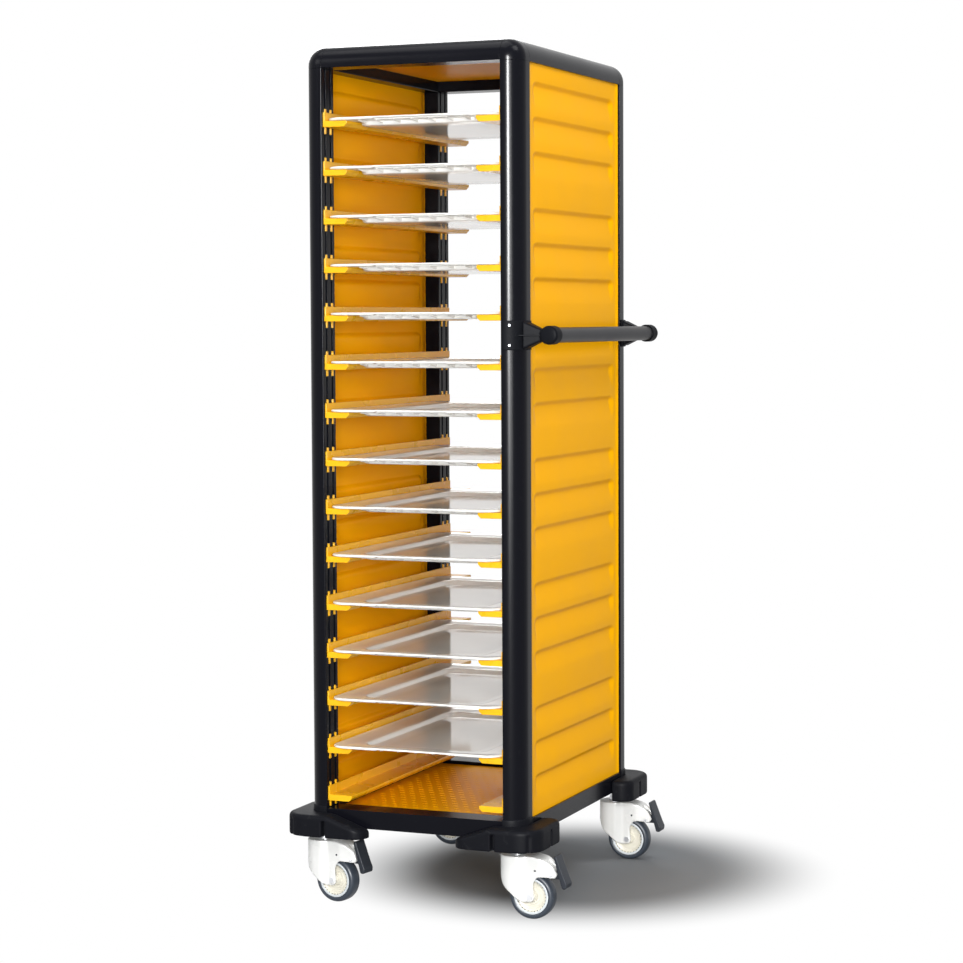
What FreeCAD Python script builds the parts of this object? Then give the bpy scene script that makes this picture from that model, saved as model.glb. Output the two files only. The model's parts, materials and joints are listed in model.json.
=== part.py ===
import FreeCAD, Part
import math
import os
import re

import Sketcher
from FreeCAD import Placement, Rotation, Vector

# Meal tray cart: a four-post frame with clad sides, open at the front and at the back,
# on four swivel casters, with a stack of trays on moulded rails.
# Millimetres, +Z up, the front is -Y. The origin is the middle of the footprint, on the floor.

doc = FreeCAD.newDocument("MealTrayCart")
sizes = doc.addObject("Spreadsheet::Sheet", "Sizes")
DIMENSIONS = {
    # Frame
    "frame_width": 505,
    "frame_depth": 700,
    "frame_top": 1870,
    "post_width": 45,
    "post_depth": 60,
    "post_corner_radius": 40,
    "post_wall": 3,
    "edge_radius": 2,
    "top_bar_height": 47,
    "bottom_bar_height": 40,
    "seam_width": 0.2,
    "post_chamber_inset": 6,
    "post_chamber_radius": 28,
    "overcut": 1,

    # Grooves of the posts' inner faces, which the rails hook into
    "hook_groove_front": 18,
    "hook_groove_back": 45,
    "hook_groove_width": 8,
    "hook_groove_depth": 6,

    # Panels
    "side_panel_thickness": 4,
    "side_panel_inset": 5,
    "panel_groove_depth": 7,
    "panel_play": 0.5,
    "sheet_thickness": 5,
    "top_sheet_drop": 22,
    "base_sheet_drop": 8,
    "hollow_depth": 5,
    "hollow_height": 60,
    "hollow_pitch": 74,
    "hollow_count": 3,
    "hollow_group_count": 6,
    "hollow_top_margin": 36,
    "hollow_bottom_margin": 29,
    "hollow_end_margin": 26,
    "hollow_end_slope": 14,
    "hollow_step": 3,
    "hollow_crest": 12,

    # Tray rails
    "rail_count": 15,
    "first_rail_drop": 174,
    "last_rail_rise": 56,
    "rail_inset": 6,
    "flange_thickness": 4,
    "flange_height": 32,
    "ledge_width": 57,
    "ledge_thickness": 13,
    "ledge_relief": 7,
    "hook_width": 7,
    "hook_depth": 5,
    "hook_above": 8,
    "hook_below": 14,

    # Trays
    "tray_count": 14,
    "tray_side_play": 3.5,
    "tray_overhang": 7,
    "tray_rear_inset": 107,
    "tray_corner_radius": 38,
    "tray_rim_height": 6,
    "tray_rim_width": 6,
    "tray_slope_width": 50,
    "tray_slope_drop": 3,
    "tray_well_depth": 12.5,
    "tray_well_radius": 30,
    "tray_skin": 3,
    "tray_body_play": 5.5,
    "tray_body_margin": 55,
    "tray_body_wall": 7,
    "grip_length": 163,
    "grip_rise": 2.5,
    "grip_reach": 14,

    # Handle
    "handle_height": 1245,
    "handle_standoff": 58,
    "handle_tube_diameter": 33,
    "handle_tube_wall": 2,
    "boss_diameter": 40,
    "boss_length": 32,
    "boss_end_wall": 3,
    "tube_fit": 0.3,
    "bracket_height": 63,
    "bracket_thickness": 4,
    "bracket_front_reach": 41,
    "bracket_side_reach": 56,
    "arm_root_height": 58,
    "arm_root_width": 44,
    "arm_neck_height": 22,
    "arm_neck_width": 20,
    "arm_neck_inset": 15,
    "arm_edge_radius": 4,

    # Corner bumpers
    "bumper_drop": 18,
    "bumper_rise": 30,
    "bumper_front_reach": 42,
    "bumper_side_reach": 46,
    "bumper_front_wing": 147,
    "bumper_side_wing": 128,
    "bumper_corner_radius": 52,
    "bumper_wing_radius": 30,
    "bumper_wall": 13,
    "bumper_cavity_depth": 24,
    "bumper_cavity_reach": 44,
    "bumper_edge_radius": 9,
    "bumper_slot_width": 8,
    "bumper_slot_height": 38,
    "bumper_slot_outer": 27,
    "bumper_slot_inner": 54,
    "bumper_slot_reach": 2,
    "bumper_slope_start": 62,
    "bumper_slope_drop": 30,
    "bumper_fit": 0.3,

    # Casters
    "caster_side_inset": 23.5,
    "caster_end_inset": 32,
    "caster_trail": 36,
    "wheel_diameter": 100,
    "tyre_width": 32,
    "tyre_thickness": 11,
    "tyre_shoulder": 8,
    "hub_width": 30,
    "hub_web": 12,
    "hub_rim": 5,
    "hub_boss_diameter": 24,
    "hub_web_slope": 3,
    "axle_diameter": 8,
    "axle_fit": 0.1,
    "axle_head_diameter": 13,
    "axle_head_height": 1.5,
    "shell_rise": 87,
    "shell_half_width": 25,
    "shell_dome_radius": 36,
    "shell_beak_reach": 95,
    "shell_tip_half_width": 13,
    "fork_start": 70,
    "fork_rise": 20,
    "wheel_gap": 4,
    "neck_height": 28,
    "neck_diameter": 24,
    "neck_gap": 0.4,
    "kingpin_diameter": 12,
    "kingpin_length": 18,
    "kingpin_fit": 0.05,
    "mount_plate_thickness": 5,
    "mount_plate_width": 88,
    "mount_plate_length": 76,
    "mount_corner_radius": 12,
    "pedal_pivot_reach": 45,
    "pedal_pivot_height": 47,
    "pedal_pin_diameter": 6,
    "pedal_pin_length": 40,
    "pedal_pin_fit": 0.1,
    "pedal_reach": 82,
    "pedal_width": 34,
    "pedal_tongue_width": 12,
    "pedal_fit": 0.5,
    "front_left_caster_turn": -10,
}

size_names = []


def size(name, value):
    """One driving dimension: a plain number in the sheet, under its own alias."""
    size_names.append(name)
    row = len(size_names)
    sizes.set("A%d" % row, name)
    sizes.set("B%d" % row, str(value))
    sizes.setAlias("B%d" % row, name)


for name, number in DIMENSIONS.items():
    size(name, number)

profiles = {}


def size_profile(name, corners):
    """Corners of a free profile: run, rise and rounding, each a number or a size's name."""
    profiles[name] = []
    for letter, corner in zip("abcdefghijklm", corners):
        named = []
        for word, entry in zip(("run", "rise", "round"), corner):
            if not isinstance(entry, str):
                alias = "%s_%s_%s" % (name, letter, word)
                size(alias, entry)
                entry = alias
            named.append(entry)
        profiles[name].append(tuple(named))


# Side of the caster's housing: run from the swivel axis, height from the axle
size_profile("shell_side", [
    ("-1 * shell_dome_radius", "shell_rise"),
    ("-1 * shell_dome_radius", 48, 30),
    (-24, 24, 30),
    (20, -11, 11),
    (47, -11, 10),
    (43, 28, 18),
    (53, 45, 12),
    (89, 42, 4),
    ("shell_beak_reach", 49, 5),
    (86, 68, 18),
    (66, 82, 18),
    (44, "shell_rise")])
# Half of its plan: run from the swivel axis, half width
size_profile("shell_plan", [
    ("-1 * shell_dome_radius", "shell_dome_radius", 34),
    (12, "shell_dome_radius", 18),
    (26, "shell_half_width", 14),
    (58, "shell_half_width", 30),
    (98, "shell_tip_half_width", 4)])
# Side of the brake pedal, from its pivot
size_profile("pedal_side", [
    (7, 43, 2.5),
    (13, 44, 3),
    (21, 23, 24),
    (30, 0, 20),
    ("pedal_reach - pedal_pivot_reach", -16, 6),
    (35, -26, 4),
    (26, -26, 4),
    (22, -12, 10),
    (17, 4, 12),
    (13, 20, 14)])
# The lug by which the pedal hangs on its pivot
size_profile("pedal_lug", [
    (-8, -8, 6),
    (22, -8),
    (20, 12),
    (-8, 8, 6)])

doc.recompute()


def cell(expression):
    """The same expression with each alias written as a reference to the sheet."""
    def link(match):
        word = match.group(0)
        return "Sizes." + word if word in size_names else word
    return re.sub(r"[a-z][a-z_]+", link, str(expression))


def value(expression):
    """The present value of an expression of aliases."""
    return float(sizes.evalExpression(cell(expression)))


# Places that several pieces share, as expressions of the driving dimensions
AXLE_HEIGHT = "(wheel_diameter / 2)"
SHELL_TOP = "(%s + shell_rise)" % AXLE_HEIGHT
FRAME_BOTTOM = "(%s + neck_height + mount_plate_thickness)" % SHELL_TOP
POST_ROUND = "min(post_corner_radius; post_width - edge_radius)"
CHAMBER_WIDTH = "(post_width - hook_groove_depth - post_wall - post_chamber_inset)"
CHAMBER_ROUND = "min(post_chamber_radius; %s - edge_radius)" % CHAMBER_WIDTH
POST_X = "(frame_width / 2)"
POST_Y = "(frame_depth / 2)"
INNER_X = "(frame_width / 2 - post_width)"
INNER_Y = "(frame_depth / 2 - post_depth)"
PANEL_FACE = "(frame_width / 2 - side_panel_inset)"
PANEL_BACK = "(frame_width / 2 - side_panel_inset - side_panel_thickness)"
TOP_OPENING = "(frame_top - top_bar_height)"
BOTTOM_OPENING = "(%s + bottom_bar_height)" % FRAME_BOTTOM
LEDGE_BOTTOM = "(frame_top - first_rail_drop)"
LEDGE_TOP = "(frame_top - first_rail_drop + ledge_thickness)"
FLANGE_FACE = "(frame_width / 2 - post_width - flange_thickness)"
LEDGE_TIP = "(frame_width / 2 - post_width - ledge_width)"
RAIL_SPAN = "(frame_top - first_rail_drop - %s - last_rail_rise)" % FRAME_BOTTOM
TRAY_PITCH = "(%s / (rail_count - 1))" % RAIL_SPAN
TRAY_WIDTH = "(2 * (%s - tray_side_play))" % FLANGE_FACE
TRAY_LENGTH = "(frame_depth + tray_overhang - tray_rear_inset)"
TRAY_BODY_WIDTH = "(2 * (%s - tray_body_play))" % LEDGE_TIP
TRAY_BODY_LENGTH = "(%s - 2 * tray_body_margin)" % TRAY_LENGTH
BUMPER_BOTTOM = "(%s - bumper_drop)" % FRAME_BOTTOM
BUMPER_TOP = "(%s + bumper_rise)" % FRAME_BOTTOM
HANDLE_X = "(frame_width / 2 + handle_standoff)"
HANDLE_Y = "(frame_depth / 2 - post_depth / 2)"
CASTER_X = "(frame_width / 2 - caster_side_inset)"
CASTER_Y = "(frame_depth / 2 - caster_end_inset)"
PEDAL_REST_REACH = "(%s + caster_trail + pedal_reach)" % CASTER_X
BUMPER_REST_REACH = "(frame_width / 2 + bumper_side_reach)"
# The pedals stand out on the right only, so the cabinet stands left of the footprint's middle.
CABINET_X = value("(%s - %s) / 2" % (BUMPER_REST_REACH, PEDAL_REST_REACH))
CABINET = Placement(Vector(CABINET_X, 0, 0), Rotation())

QUARTER_TURN = 90
FULL_TURN = 360
SIDES = {"left": -1, "right": 1}
ENDS = {"front": -1, "rear": 1}
CORNERS = {end + "_" + side: (SIDES[side], ENDS[end]) for end in ENDS for side in SIDES}


def new_body(label):
    piece = doc.addObject("PartDesign::Body", label)
    piece.Label = label
    return piece


def origin_part(piece, role):
    return next(item for item in piece.Origin.OriginFeatures if item.Role == role)


def new_sketch(piece, role, height="0"):
    """An empty sketch on one of the body's own planes, lifted along the plane's normal."""
    sketch = piece.newObject("Sketcher::SketchObject", piece.Label + "_sketch")
    sketch.AttachmentSupport = [(origin_part(piece, role), "")]
    sketch.MapMode = "FlatFace"
    sketch.setExpression("AttachmentOffset.Base.z", cell(height))
    return sketch


def place_point(sketch, geometry, end, x, y):
    """Dimension a point from the sketch's origin."""
    for kind, expression in (("DistanceX", x), ("DistanceY", y)):
        index = sketch.addConstraint(
            Sketcher.Constraint(kind, -1, 1, geometry, end, value(expression)))
        sketch.setExpression("Constraints[%d]" % index, cell(expression))


def draw_outline(sketch, corners):
    """A closed outline through corners (x, y) or (x, y, radius), each an expression."""
    points = [Vector(value(c[0]), value(c[1]), 0) for c in corners]
    radii = [value(c[2]) if len(c) > 2 else 0.0 for c in corners]
    count = len(points)
    starts, stops, centres, turns = [], [], [], []
    for i, point in enumerate(points):
        back = (points[i - 1] - point).normalize()
        ahead = (points[(i + 1) % count] - point).normalize()
        half = back.getAngle(ahead) / 2
        reach = radii[i] / math.tan(half)
        starts.append(point + ahead * reach)
        stops.append(point + back * reach)
        bisector = (back + ahead) if radii[i] else Vector(1, 0, 0)
        centres.append(point + bisector.normalize() * (radii[i] / math.sin(half)))
        turns.append(back.cross(ahead).z < 0)
    lines, markers = [], []
    for i in range(count):
        lines.append(sketch.addGeometry(Part.LineSegment(starts[i], stops[(i + 1) % count]), False))
    for i, point in enumerate(points):
        markers.append(sketch.addGeometry(Part.Point(point), True))
        before, after = lines[i - 1], lines[i]
        if not radii[i]:
            sketch.addConstraint(Sketcher.Constraint("Coincident", before, 2, after, 1))
            sketch.addConstraint(Sketcher.Constraint("Coincident", after, 1, markers[i], 1))
            continue
        begin, finish = (stops[i], starts[i]) if turns[i] else (starts[i], stops[i])
        from_centre = begin - centres[i]
        to_centre = finish - centres[i]
        first = math.atan2(from_centre.y, from_centre.x)
        last = math.atan2(to_centre.y, to_centre.x)
        if last < first:
            last += 2 * math.pi
        circle = Part.Circle(centres[i], Vector(0, 0, 1), radii[i])
        arc = sketch.addGeometry(Part.ArcOfCircle(circle, first, last), False)
        near, far = (1, 2) if turns[i] else (2, 1)
        sketch.addConstraint(Sketcher.Constraint("Tangent", before, 2, arc, near))
        sketch.addConstraint(Sketcher.Constraint("Tangent", arc, far, after, 1))
        sketch.addConstraint(Sketcher.Constraint("PointOnObject", markers[i], 1, before))
        sketch.addConstraint(Sketcher.Constraint("PointOnObject", markers[i], 1, after))
        index = sketch.addConstraint(Sketcher.Constraint("Radius", arc, radii[i]))
        sketch.setExpression("Constraints[%d]" % index, cell(corners[i][2]))
    for marker, corner in zip(markers, corners):
        place_point(sketch, marker, 1, corner[0], corner[1])


def draw_circle(sketch, x, y, radius):
    centre = Vector(value(x), value(y), 0)
    circle = sketch.addGeometry(Part.Circle(centre, Vector(0, 0, 1), value(radius)), False)
    index = sketch.addConstraint(Sketcher.Constraint("Radius", circle, value(radius)))
    sketch.setExpression("Constraints[%d]" % index, cell(radius))
    place_point(sketch, circle, 3, x, y)


def rectangle(x_low, x_high, y_low, y_high, radius=None):
    ends = [(x_low, y_low), (x_high, y_low), (x_high, y_high), (x_low, y_high)]
    return [end + (radius,) for end in ends] if radius else ends


def mirrored(corners, x_sign=1, y_sign=1):
    """The same corners with the signs of a side and an end of the cart."""
    return [("%d * (%s)" % (x_sign, c[0]), "%d * (%s)" % (y_sign, c[1])) + tuple(c[2:])
            for c in corners]


def pad(piece, sketch, length, midplane=False, backwards=False):
    feature = piece.newObject("PartDesign::Pad", piece.Label + "_pad")
    feature.Profile = sketch
    feature.setExpression("Length", cell(length))
    feature.Midplane = midplane
    feature.Reversed = backwards
    return feature


def pocket(piece, sketch, length=None, midplane=False, backwards=False):
    """Cut a sketch away, through everything where no length is given."""
    feature = piece.newObject("PartDesign::Pocket", piece.Label + "_pocket")
    feature.Profile = sketch
    if length is None:
        feature.Type = "ThroughAll"
    else:
        feature.setExpression("Length", cell(length))
    feature.Midplane = midplane
    feature.Reversed = backwards


def row(piece, originals, role, spacing, count, backwards=False):
    """Repeat features along one of the body's axes."""
    feature = piece.newObject("PartDesign::LinearPattern", piece.Label + "_row")
    feature.Originals = originals
    feature.Direction = (origin_part(piece, role), [""])
    feature.Mode = "Spacing"
    feature.Reversed = backwards
    feature.setExpression("Offset", cell(spacing))
    feature.setExpression("Occurrences", cell(count))
    piece.Tip = feature


def loft(piece, kind, first, last):
    feature = piece.newObject("PartDesign::" + kind, piece.Label + "_loft")
    feature.Profile = first
    feature.Sections = [last]
    feature.Ruled = True


def edges_where(shape, test):
    """Names of the edges whose middle point and direction pass a test."""
    names = []
    for number, edge in enumerate(shape.Edges, 1):
        middle = edge.valueAt((edge.FirstParameter + edge.LastParameter) / 2)
        span = edge.valueAt(edge.LastParameter) - edge.valueAt(edge.FirstParameter)
        if test(middle, span):
            names.append("Edge%d" % number)
    return names


def round_edges(piece, test, radius):
    """Round the edges that pass a test."""
    doc.recompute()
    base = piece.Tip
    feature = piece.newObject("PartDesign::Fillet", piece.Label + "_fillet")
    feature.Base = (base, edges_where(base.Shape, test))
    feature.setExpression("Radius", cell(radius))


NEARNESS = 0.05


def near(number, expression):
    return abs(number - value(expression)) < NEARNESS


# Frame ---------------------------------------------------------------------------------------

def hook_groove(inset):
    """The four corners of one groove in a post's inner face."""
    front = "(frame_depth / 2 - %s + hook_groove_width / 2)" % inset
    back = "(frame_depth / 2 - %s - hook_groove_width / 2)" % inset
    floor = "(%s + hook_groove_depth)" % INNER_X
    return [(INNER_X, front), (floor, front), (floor, back), (INNER_X, back)]


def make_post(corner):
    """An extruded corner post: round outside, grooved inside, slotted for the side panel."""
    x_sign, y_sign = CORNERS[corner]
    piece = new_body("corner_post_" + corner)
    slot_floor = "(%s + panel_groove_depth)" % INNER_Y
    section = [(POST_X, POST_Y, POST_ROUND), (INNER_X, POST_Y, "edge_radius")]
    section += hook_groove("hook_groove_front") + hook_groove("hook_groove_back")
    section += [(INNER_X, INNER_Y), (PANEL_BACK, INNER_Y), (PANEL_BACK, slot_floor)]
    section += [(PANEL_FACE, slot_floor), (PANEL_FACE, INNER_Y), (POST_X, INNER_Y)]
    chamber_x = "(%s + hook_groove_depth + post_wall)" % INNER_X
    chamber_y = "(%s + post_wall)" % slot_floor
    chamber_face = "(%s - post_chamber_inset)" % POST_X
    chamber_end = "(%s - post_chamber_inset)" % POST_Y
    chamber = [(chamber_face, chamber_end, CHAMBER_ROUND), (chamber_x, chamber_end),
               (chamber_x, chamber_y), (chamber_face, chamber_y)]
    sketch = new_sketch(piece, "XY_Plane", FRAME_BOTTOM)
    draw_outline(sketch, mirrored(section, x_sign, y_sign))
    draw_outline(sketch, mirrored(chamber, x_sign, y_sign))
    pad(piece, sketch, "%s - %s - seam_width" % (TOP_OPENING, FRAME_BOTTOM))
    piece.Placement = CABINET
    return piece


def make_top_corners():
    """A cast block over each post, rounded like a ball on the outside."""
    piece = new_body("top_corners")
    sketch = new_sketch(piece, "XY_Plane", TOP_OPENING)
    for x_sign, y_sign in CORNERS.values():
        block = rectangle(INNER_X, POST_X, INNER_Y, POST_Y)
        draw_outline(sketch, mirrored(block, x_sign, y_sign))
    pad(piece, sketch, "top_bar_height")

    def on_outside(middle, span):
        outer_x = near(abs(middle.x), POST_X)
        outer_y = near(abs(middle.y), POST_Y)
        return outer_x + outer_y + near(middle.z, "frame_top") == 2
    round_edges(piece, on_outside, POST_ROUND)
    piece.Placement = CABINET
    return piece


def bar_section(face, inner, low, high, rounded_top, slot_low, sheet_low):
    """Section of a frame bar in a plane across it, from its outer face to its inner face.

    The slot in its edge takes a side panel, and the groove in its inner face takes a sheet.
    """
    groove = "(%s + panel_groove_depth)" % inner
    sheet_high = "(%s + sheet_thickness)" % sheet_low
    corners = [(face, high, POST_ROUND) if rounded_top else (face, high)]
    if slot_low is False:
        corners += [(PANEL_FACE, high), (PANEL_FACE, "(%s - panel_groove_depth)" % high),
                    (PANEL_BACK, "(%s - panel_groove_depth)" % high), (PANEL_BACK, high)]
    corners += [(inner, high, "edge_radius"), (inner, sheet_high), (groove, sheet_high)]
    corners += [(groove, sheet_low), (inner, sheet_low), (inner, low, "edge_radius")]
    if slot_low:
        corners += [(PANEL_BACK, low), (PANEL_BACK, "(%s + panel_groove_depth)" % low),
                    (PANEL_FACE, "(%s + panel_groove_depth)" % low), (PANEL_FACE, low)]
    corners += [(face, low, "edge_radius")]
    return corners


TOP_SHEET = "(frame_top - top_sheet_drop)"
BASE_SHEET = "(%s - base_sheet_drop - sheet_thickness)" % BOTTOM_OPENING


def draw_bar(piece, level, is_side, x_sign):
    """Draw and extrude one bar between two posts."""
    low, high = (TOP_OPENING, "frame_top") if level == "top" else (FRAME_BOTTOM, BOTTOM_OPENING)
    sheet = TOP_SHEET if level == "top" else BASE_SHEET
    rounded = level == "top"
    if is_side:
        slot = level == "top"
        section = bar_section(POST_X, INNER_X, low, high, rounded, slot, sheet)
        sketch = new_sketch(piece, "XZ_Plane")
        length = "2 * %s - 2 * seam_width" % INNER_Y
    else:
        section = bar_section(POST_Y, INNER_Y, low, high, rounded, None, sheet)
        sketch = new_sketch(piece, "YZ_Plane")
        length = "2 * %s - 2 * seam_width" % INNER_X
    draw_outline(sketch, mirrored(section, x_sign))
    pad(piece, sketch, length, midplane=True)


def make_top_bar(name):
    piece = new_body("top_bar_" + name)
    sign = SIDES.get(name) or ENDS.get(name)
    draw_bar(piece, "top", name in SIDES, sign)
    piece.Placement = CABINET
    return piece


def make_bottom_bars(label, names):
    """The two bottom bars that face each other."""
    piece = new_body(label)
    for name in names:
        draw_bar(piece, "bottom", name in SIDES, names[name])
    piece.Placement = CABINET
    return piece


# Panels --------------------------------------------------------------------------------------

def make_side_panel(side):
    """A formed sheet between the posts, with groups of hollows pressed in from outside."""
    sign = SIDES[side]
    piece = new_body("side_panel_" + side)
    half = "(%s + panel_groove_depth - panel_play)" % INNER_Y
    low = "(%s - panel_groove_depth + panel_play)" % BOTTOM_OPENING
    high = "(%s + panel_groove_depth - panel_play)" % TOP_OPENING
    sheet = new_sketch(piece, "YZ_Plane", "%d * %s" % (sign, PANEL_BACK))
    shoulder = "(%s - panel_play)" % INNER_Y
    neck = "(%s - panel_play)" % TOP_OPENING
    draw_outline(sheet, [("-" + half, low), (half, low), (half, neck), (shoulder, neck),
                         (shoulder, high), ("-" + shoulder, high), ("-" + shoulder, neck),
                         ("-" + half, neck)])
    pad(piece, sheet, "side_panel_thickness - panel_play", backwards=sign < 0)

    top = "(%s - hollow_top_margin)" % TOP_OPENING
    bottom = "(%s - hollow_height)" % top
    reach = "(%s - hollow_end_margin)" % INNER_Y
    deep_top = "(%s - hollow_step)" % top
    deep_bottom = "(%s - hollow_step - hollow_crest)" % top
    deep_reach = "(%s - hollow_end_slope)" % reach
    group_height = "(hollow_height + hollow_pitch * (hollow_count - 1))"
    group_span = "(%s - %s - hollow_bottom_margin - %s)" % (top, BOTTOM_OPENING, group_height)
    group_pitch = "%s / (hollow_group_count - 1)" % group_span

    spans = {"Xmin": "-" + reach, "Xmax": reach, "Zmin": bottom, "Zmax": top,
             "X2min": "-" + deep_reach, "X2max": deep_reach,
             "Z2min": deep_bottom, "Z2max": deep_top}

    def pressed(kind, depth):
        """The hollow's shape, from a depth behind the sheet's outer face inwards."""
        wedge = piece.newObject("PartDesign::" + kind, piece.Label + "_hollow")
        wedge.Placement = Placement(Vector(), Rotation(Vector(0, 0, 1), QUARTER_TURN * sign))
        wedge.setExpression("Placement.Base.x", cell("%d * (%s - panel_play)" % (sign, PANEL_FACE)))
        wedge.setExpression("Ymin", cell(depth))
        wedge.setExpression("Ymax", cell(depth + " + hollow_depth"))
        for side_name, place in spans.items():
            wedge.setExpression(side_name, cell(place))
        return wedge
    back = pressed("AdditiveWedge", "side_panel_thickness - panel_play")
    front = pressed("SubtractiveWedge", "0")

    group = piece.newObject("PartDesign::MultiTransform", piece.Label + "_hollows")
    group.Originals = [back, front]
    steps = []
    for spacing, count in (("hollow_pitch", "hollow_count"),
                           (group_pitch, "hollow_group_count")):
        step = piece.newObject("PartDesign::LinearPattern", piece.Label + "_step")
        step.Direction = (origin_part(piece, "Z_Axis"), [""])
        step.Mode = "Spacing"
        step.Reversed = True
        step.setExpression("Offset", cell(spacing))
        step.setExpression("Occurrences", cell(count))
        steps.append(step)
    group.Transformations = steps
    piece.Tip = group
    piece.Placement = CABINET
    return piece


def make_sheet(label, low):
    """A flat sheet whose four tongues sit in the grooves of the bars."""
    piece = new_body(label)
    reach_x = "(%s + panel_groove_depth - panel_play)" % INNER_X
    reach_y = "(%s + panel_groove_depth - panel_play)" % INNER_Y
    inner_x = "(%s - panel_play)" % INNER_X
    inner_y = "(%s - panel_play)" % INNER_Y
    corners = []
    for x_sign, y_sign in ((1, 1), (-1, 1), (-1, -1), (1, -1)):
        notch = [(reach_x, inner_y), (inner_x, inner_y), (inner_x, reach_y)]
        corners += mirrored(notch if x_sign == y_sign else notch[::-1], x_sign, y_sign)
    sketch = new_sketch(piece, "XY_Plane", low)
    draw_outline(sketch, corners)
    pad(piece, sketch, "sheet_thickness - panel_play")
    piece.Placement = CABINET
    return piece


# Rails and trays -----------------------------------------------------------------------------

def make_rails(side):
    """Moulded rails: a flange on the posts, a ledge for the tray rim and hooks at the grooves."""
    sign = SIDES[side]
    piece = new_body("tray_rails_" + side)
    flange_top = "(%s + flange_height)" % LEDGE_BOTTOM
    section = [(INNER_X, LEDGE_BOTTOM), (INNER_X, flange_top), (FLANGE_FACE, flange_top),
               (FLANGE_FACE, LEDGE_TOP), (LEDGE_TIP, LEDGE_TOP, "edge_radius"),
               (LEDGE_TIP, LEDGE_BOTTOM + " + ledge_relief", "edge_radius"),
               (LEDGE_TIP + " + ledge_relief", LEDGE_BOTTOM, "edge_radius")]
    sketch = new_sketch(piece, "XZ_Plane")
    draw_outline(sketch, mirrored(section, sign))
    rail = pad(piece, sketch, "frame_depth - 2 * rail_inset", midplane=True)

    hooks = new_sketch(piece, "XY_Plane", "%s - hook_below" % LEDGE_BOTTOM)
    for y_sign in (1, -1):
        for inset in ("hook_groove_front", "hook_groove_back"):
            middle = "(frame_depth / 2 - %s)" % inset
            tab = rectangle("(%s - flange_thickness / 2)" % INNER_X,
                            "(%s + hook_depth)" % INNER_X,
                            "(%s - hook_width / 2)" % middle, "(%s + hook_width / 2)" % middle)
            draw_outline(hooks, mirrored(tab, sign, y_sign))
    tabs = pad(piece, hooks, "flange_height + hook_above + hook_below")
    row(piece, [rail, tabs], "Z_Axis", TRAY_PITCH, "rail_count", backwards=True)
    piece.Placement = CABINET
    return piece


def tray_loop(piece, width, length, radius, height):
    sketch = new_sketch(piece, "XY_Plane", height)
    half_x = "(%s) / 2" % width
    half_y = "(%s) / 2" % length
    draw_outline(sketch, rectangle("-" + half_x, half_x, "-" + half_y, half_y, radius))
    return sketch


def make_tray(level):
    """A shallow tray: an outer rim on the ledges, sloping sides and a well between the ledges."""
    piece = new_body("tray_%02d" % level)
    rim = tray_loop(piece, TRAY_WIDTH, TRAY_LENGTH, "tray_corner_radius", "0")
    pad(piece, rim, "tray_rim_height")
    well_bottom = "(tray_rim_height - tray_well_depth)"
    body_bottom = "(%s - tray_skin)" % well_bottom
    body = tray_loop(piece, TRAY_BODY_WIDTH, TRAY_BODY_LENGTH, "tray_well_radius", "0")
    pad(piece, body, "-1 * " + body_bottom, backwards=True)
    slope_x = "%s - 2 * tray_rim_width - 2 * tray_slope_width" % TRAY_WIDTH
    slope_y = "%s - 2 * tray_rim_width - 2 * tray_slope_width" % TRAY_LENGTH
    slope_height = "tray_rim_height - tray_slope_drop"
    opening = tray_loop(piece, TRAY_WIDTH + " - 2 * tray_rim_width",
                        TRAY_LENGTH + " - 2 * tray_rim_width",
                        "tray_corner_radius - tray_rim_width", "tray_rim_height")
    shelf = tray_loop(piece, slope_x, slope_y, "tray_well_radius", slope_height)
    loft(piece, "SubtractiveLoft", opening, shelf)
    mouth = tray_loop(piece, slope_x, slope_y, "tray_well_radius", slope_height)
    floor = tray_loop(piece, TRAY_BODY_WIDTH + " - 2 * tray_body_wall",
                      TRAY_BODY_LENGTH + " - 2 * tray_body_wall", "tray_well_radius",
                      well_bottom)
    loft(piece, "SubtractiveLoft", mouth, floor)
    grips = new_sketch(piece, "XY_Plane")
    end = "(%s / 2)" % TRAY_LENGTH
    for y_sign in (1, -1):
        grip = rectangle("-grip_length / 2", "grip_length / 2", end + " - grip_reach",
                         end + " + overcut")
        draw_outline(grips, mirrored(grip, 1, y_sign))
    pocket(piece, grips, "grip_rise", backwards=True)
    height = "%s - %d * %s" % (LEDGE_TOP, level - 1, TRAY_PITCH)
    middle = "-(tray_overhang + tray_rear_inset) / 2"
    piece.Placement = Placement(Vector(CABINET_X, value(middle), value(height)), Rotation())
    return piece


# Handle --------------------------------------------------------------------------------------

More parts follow.
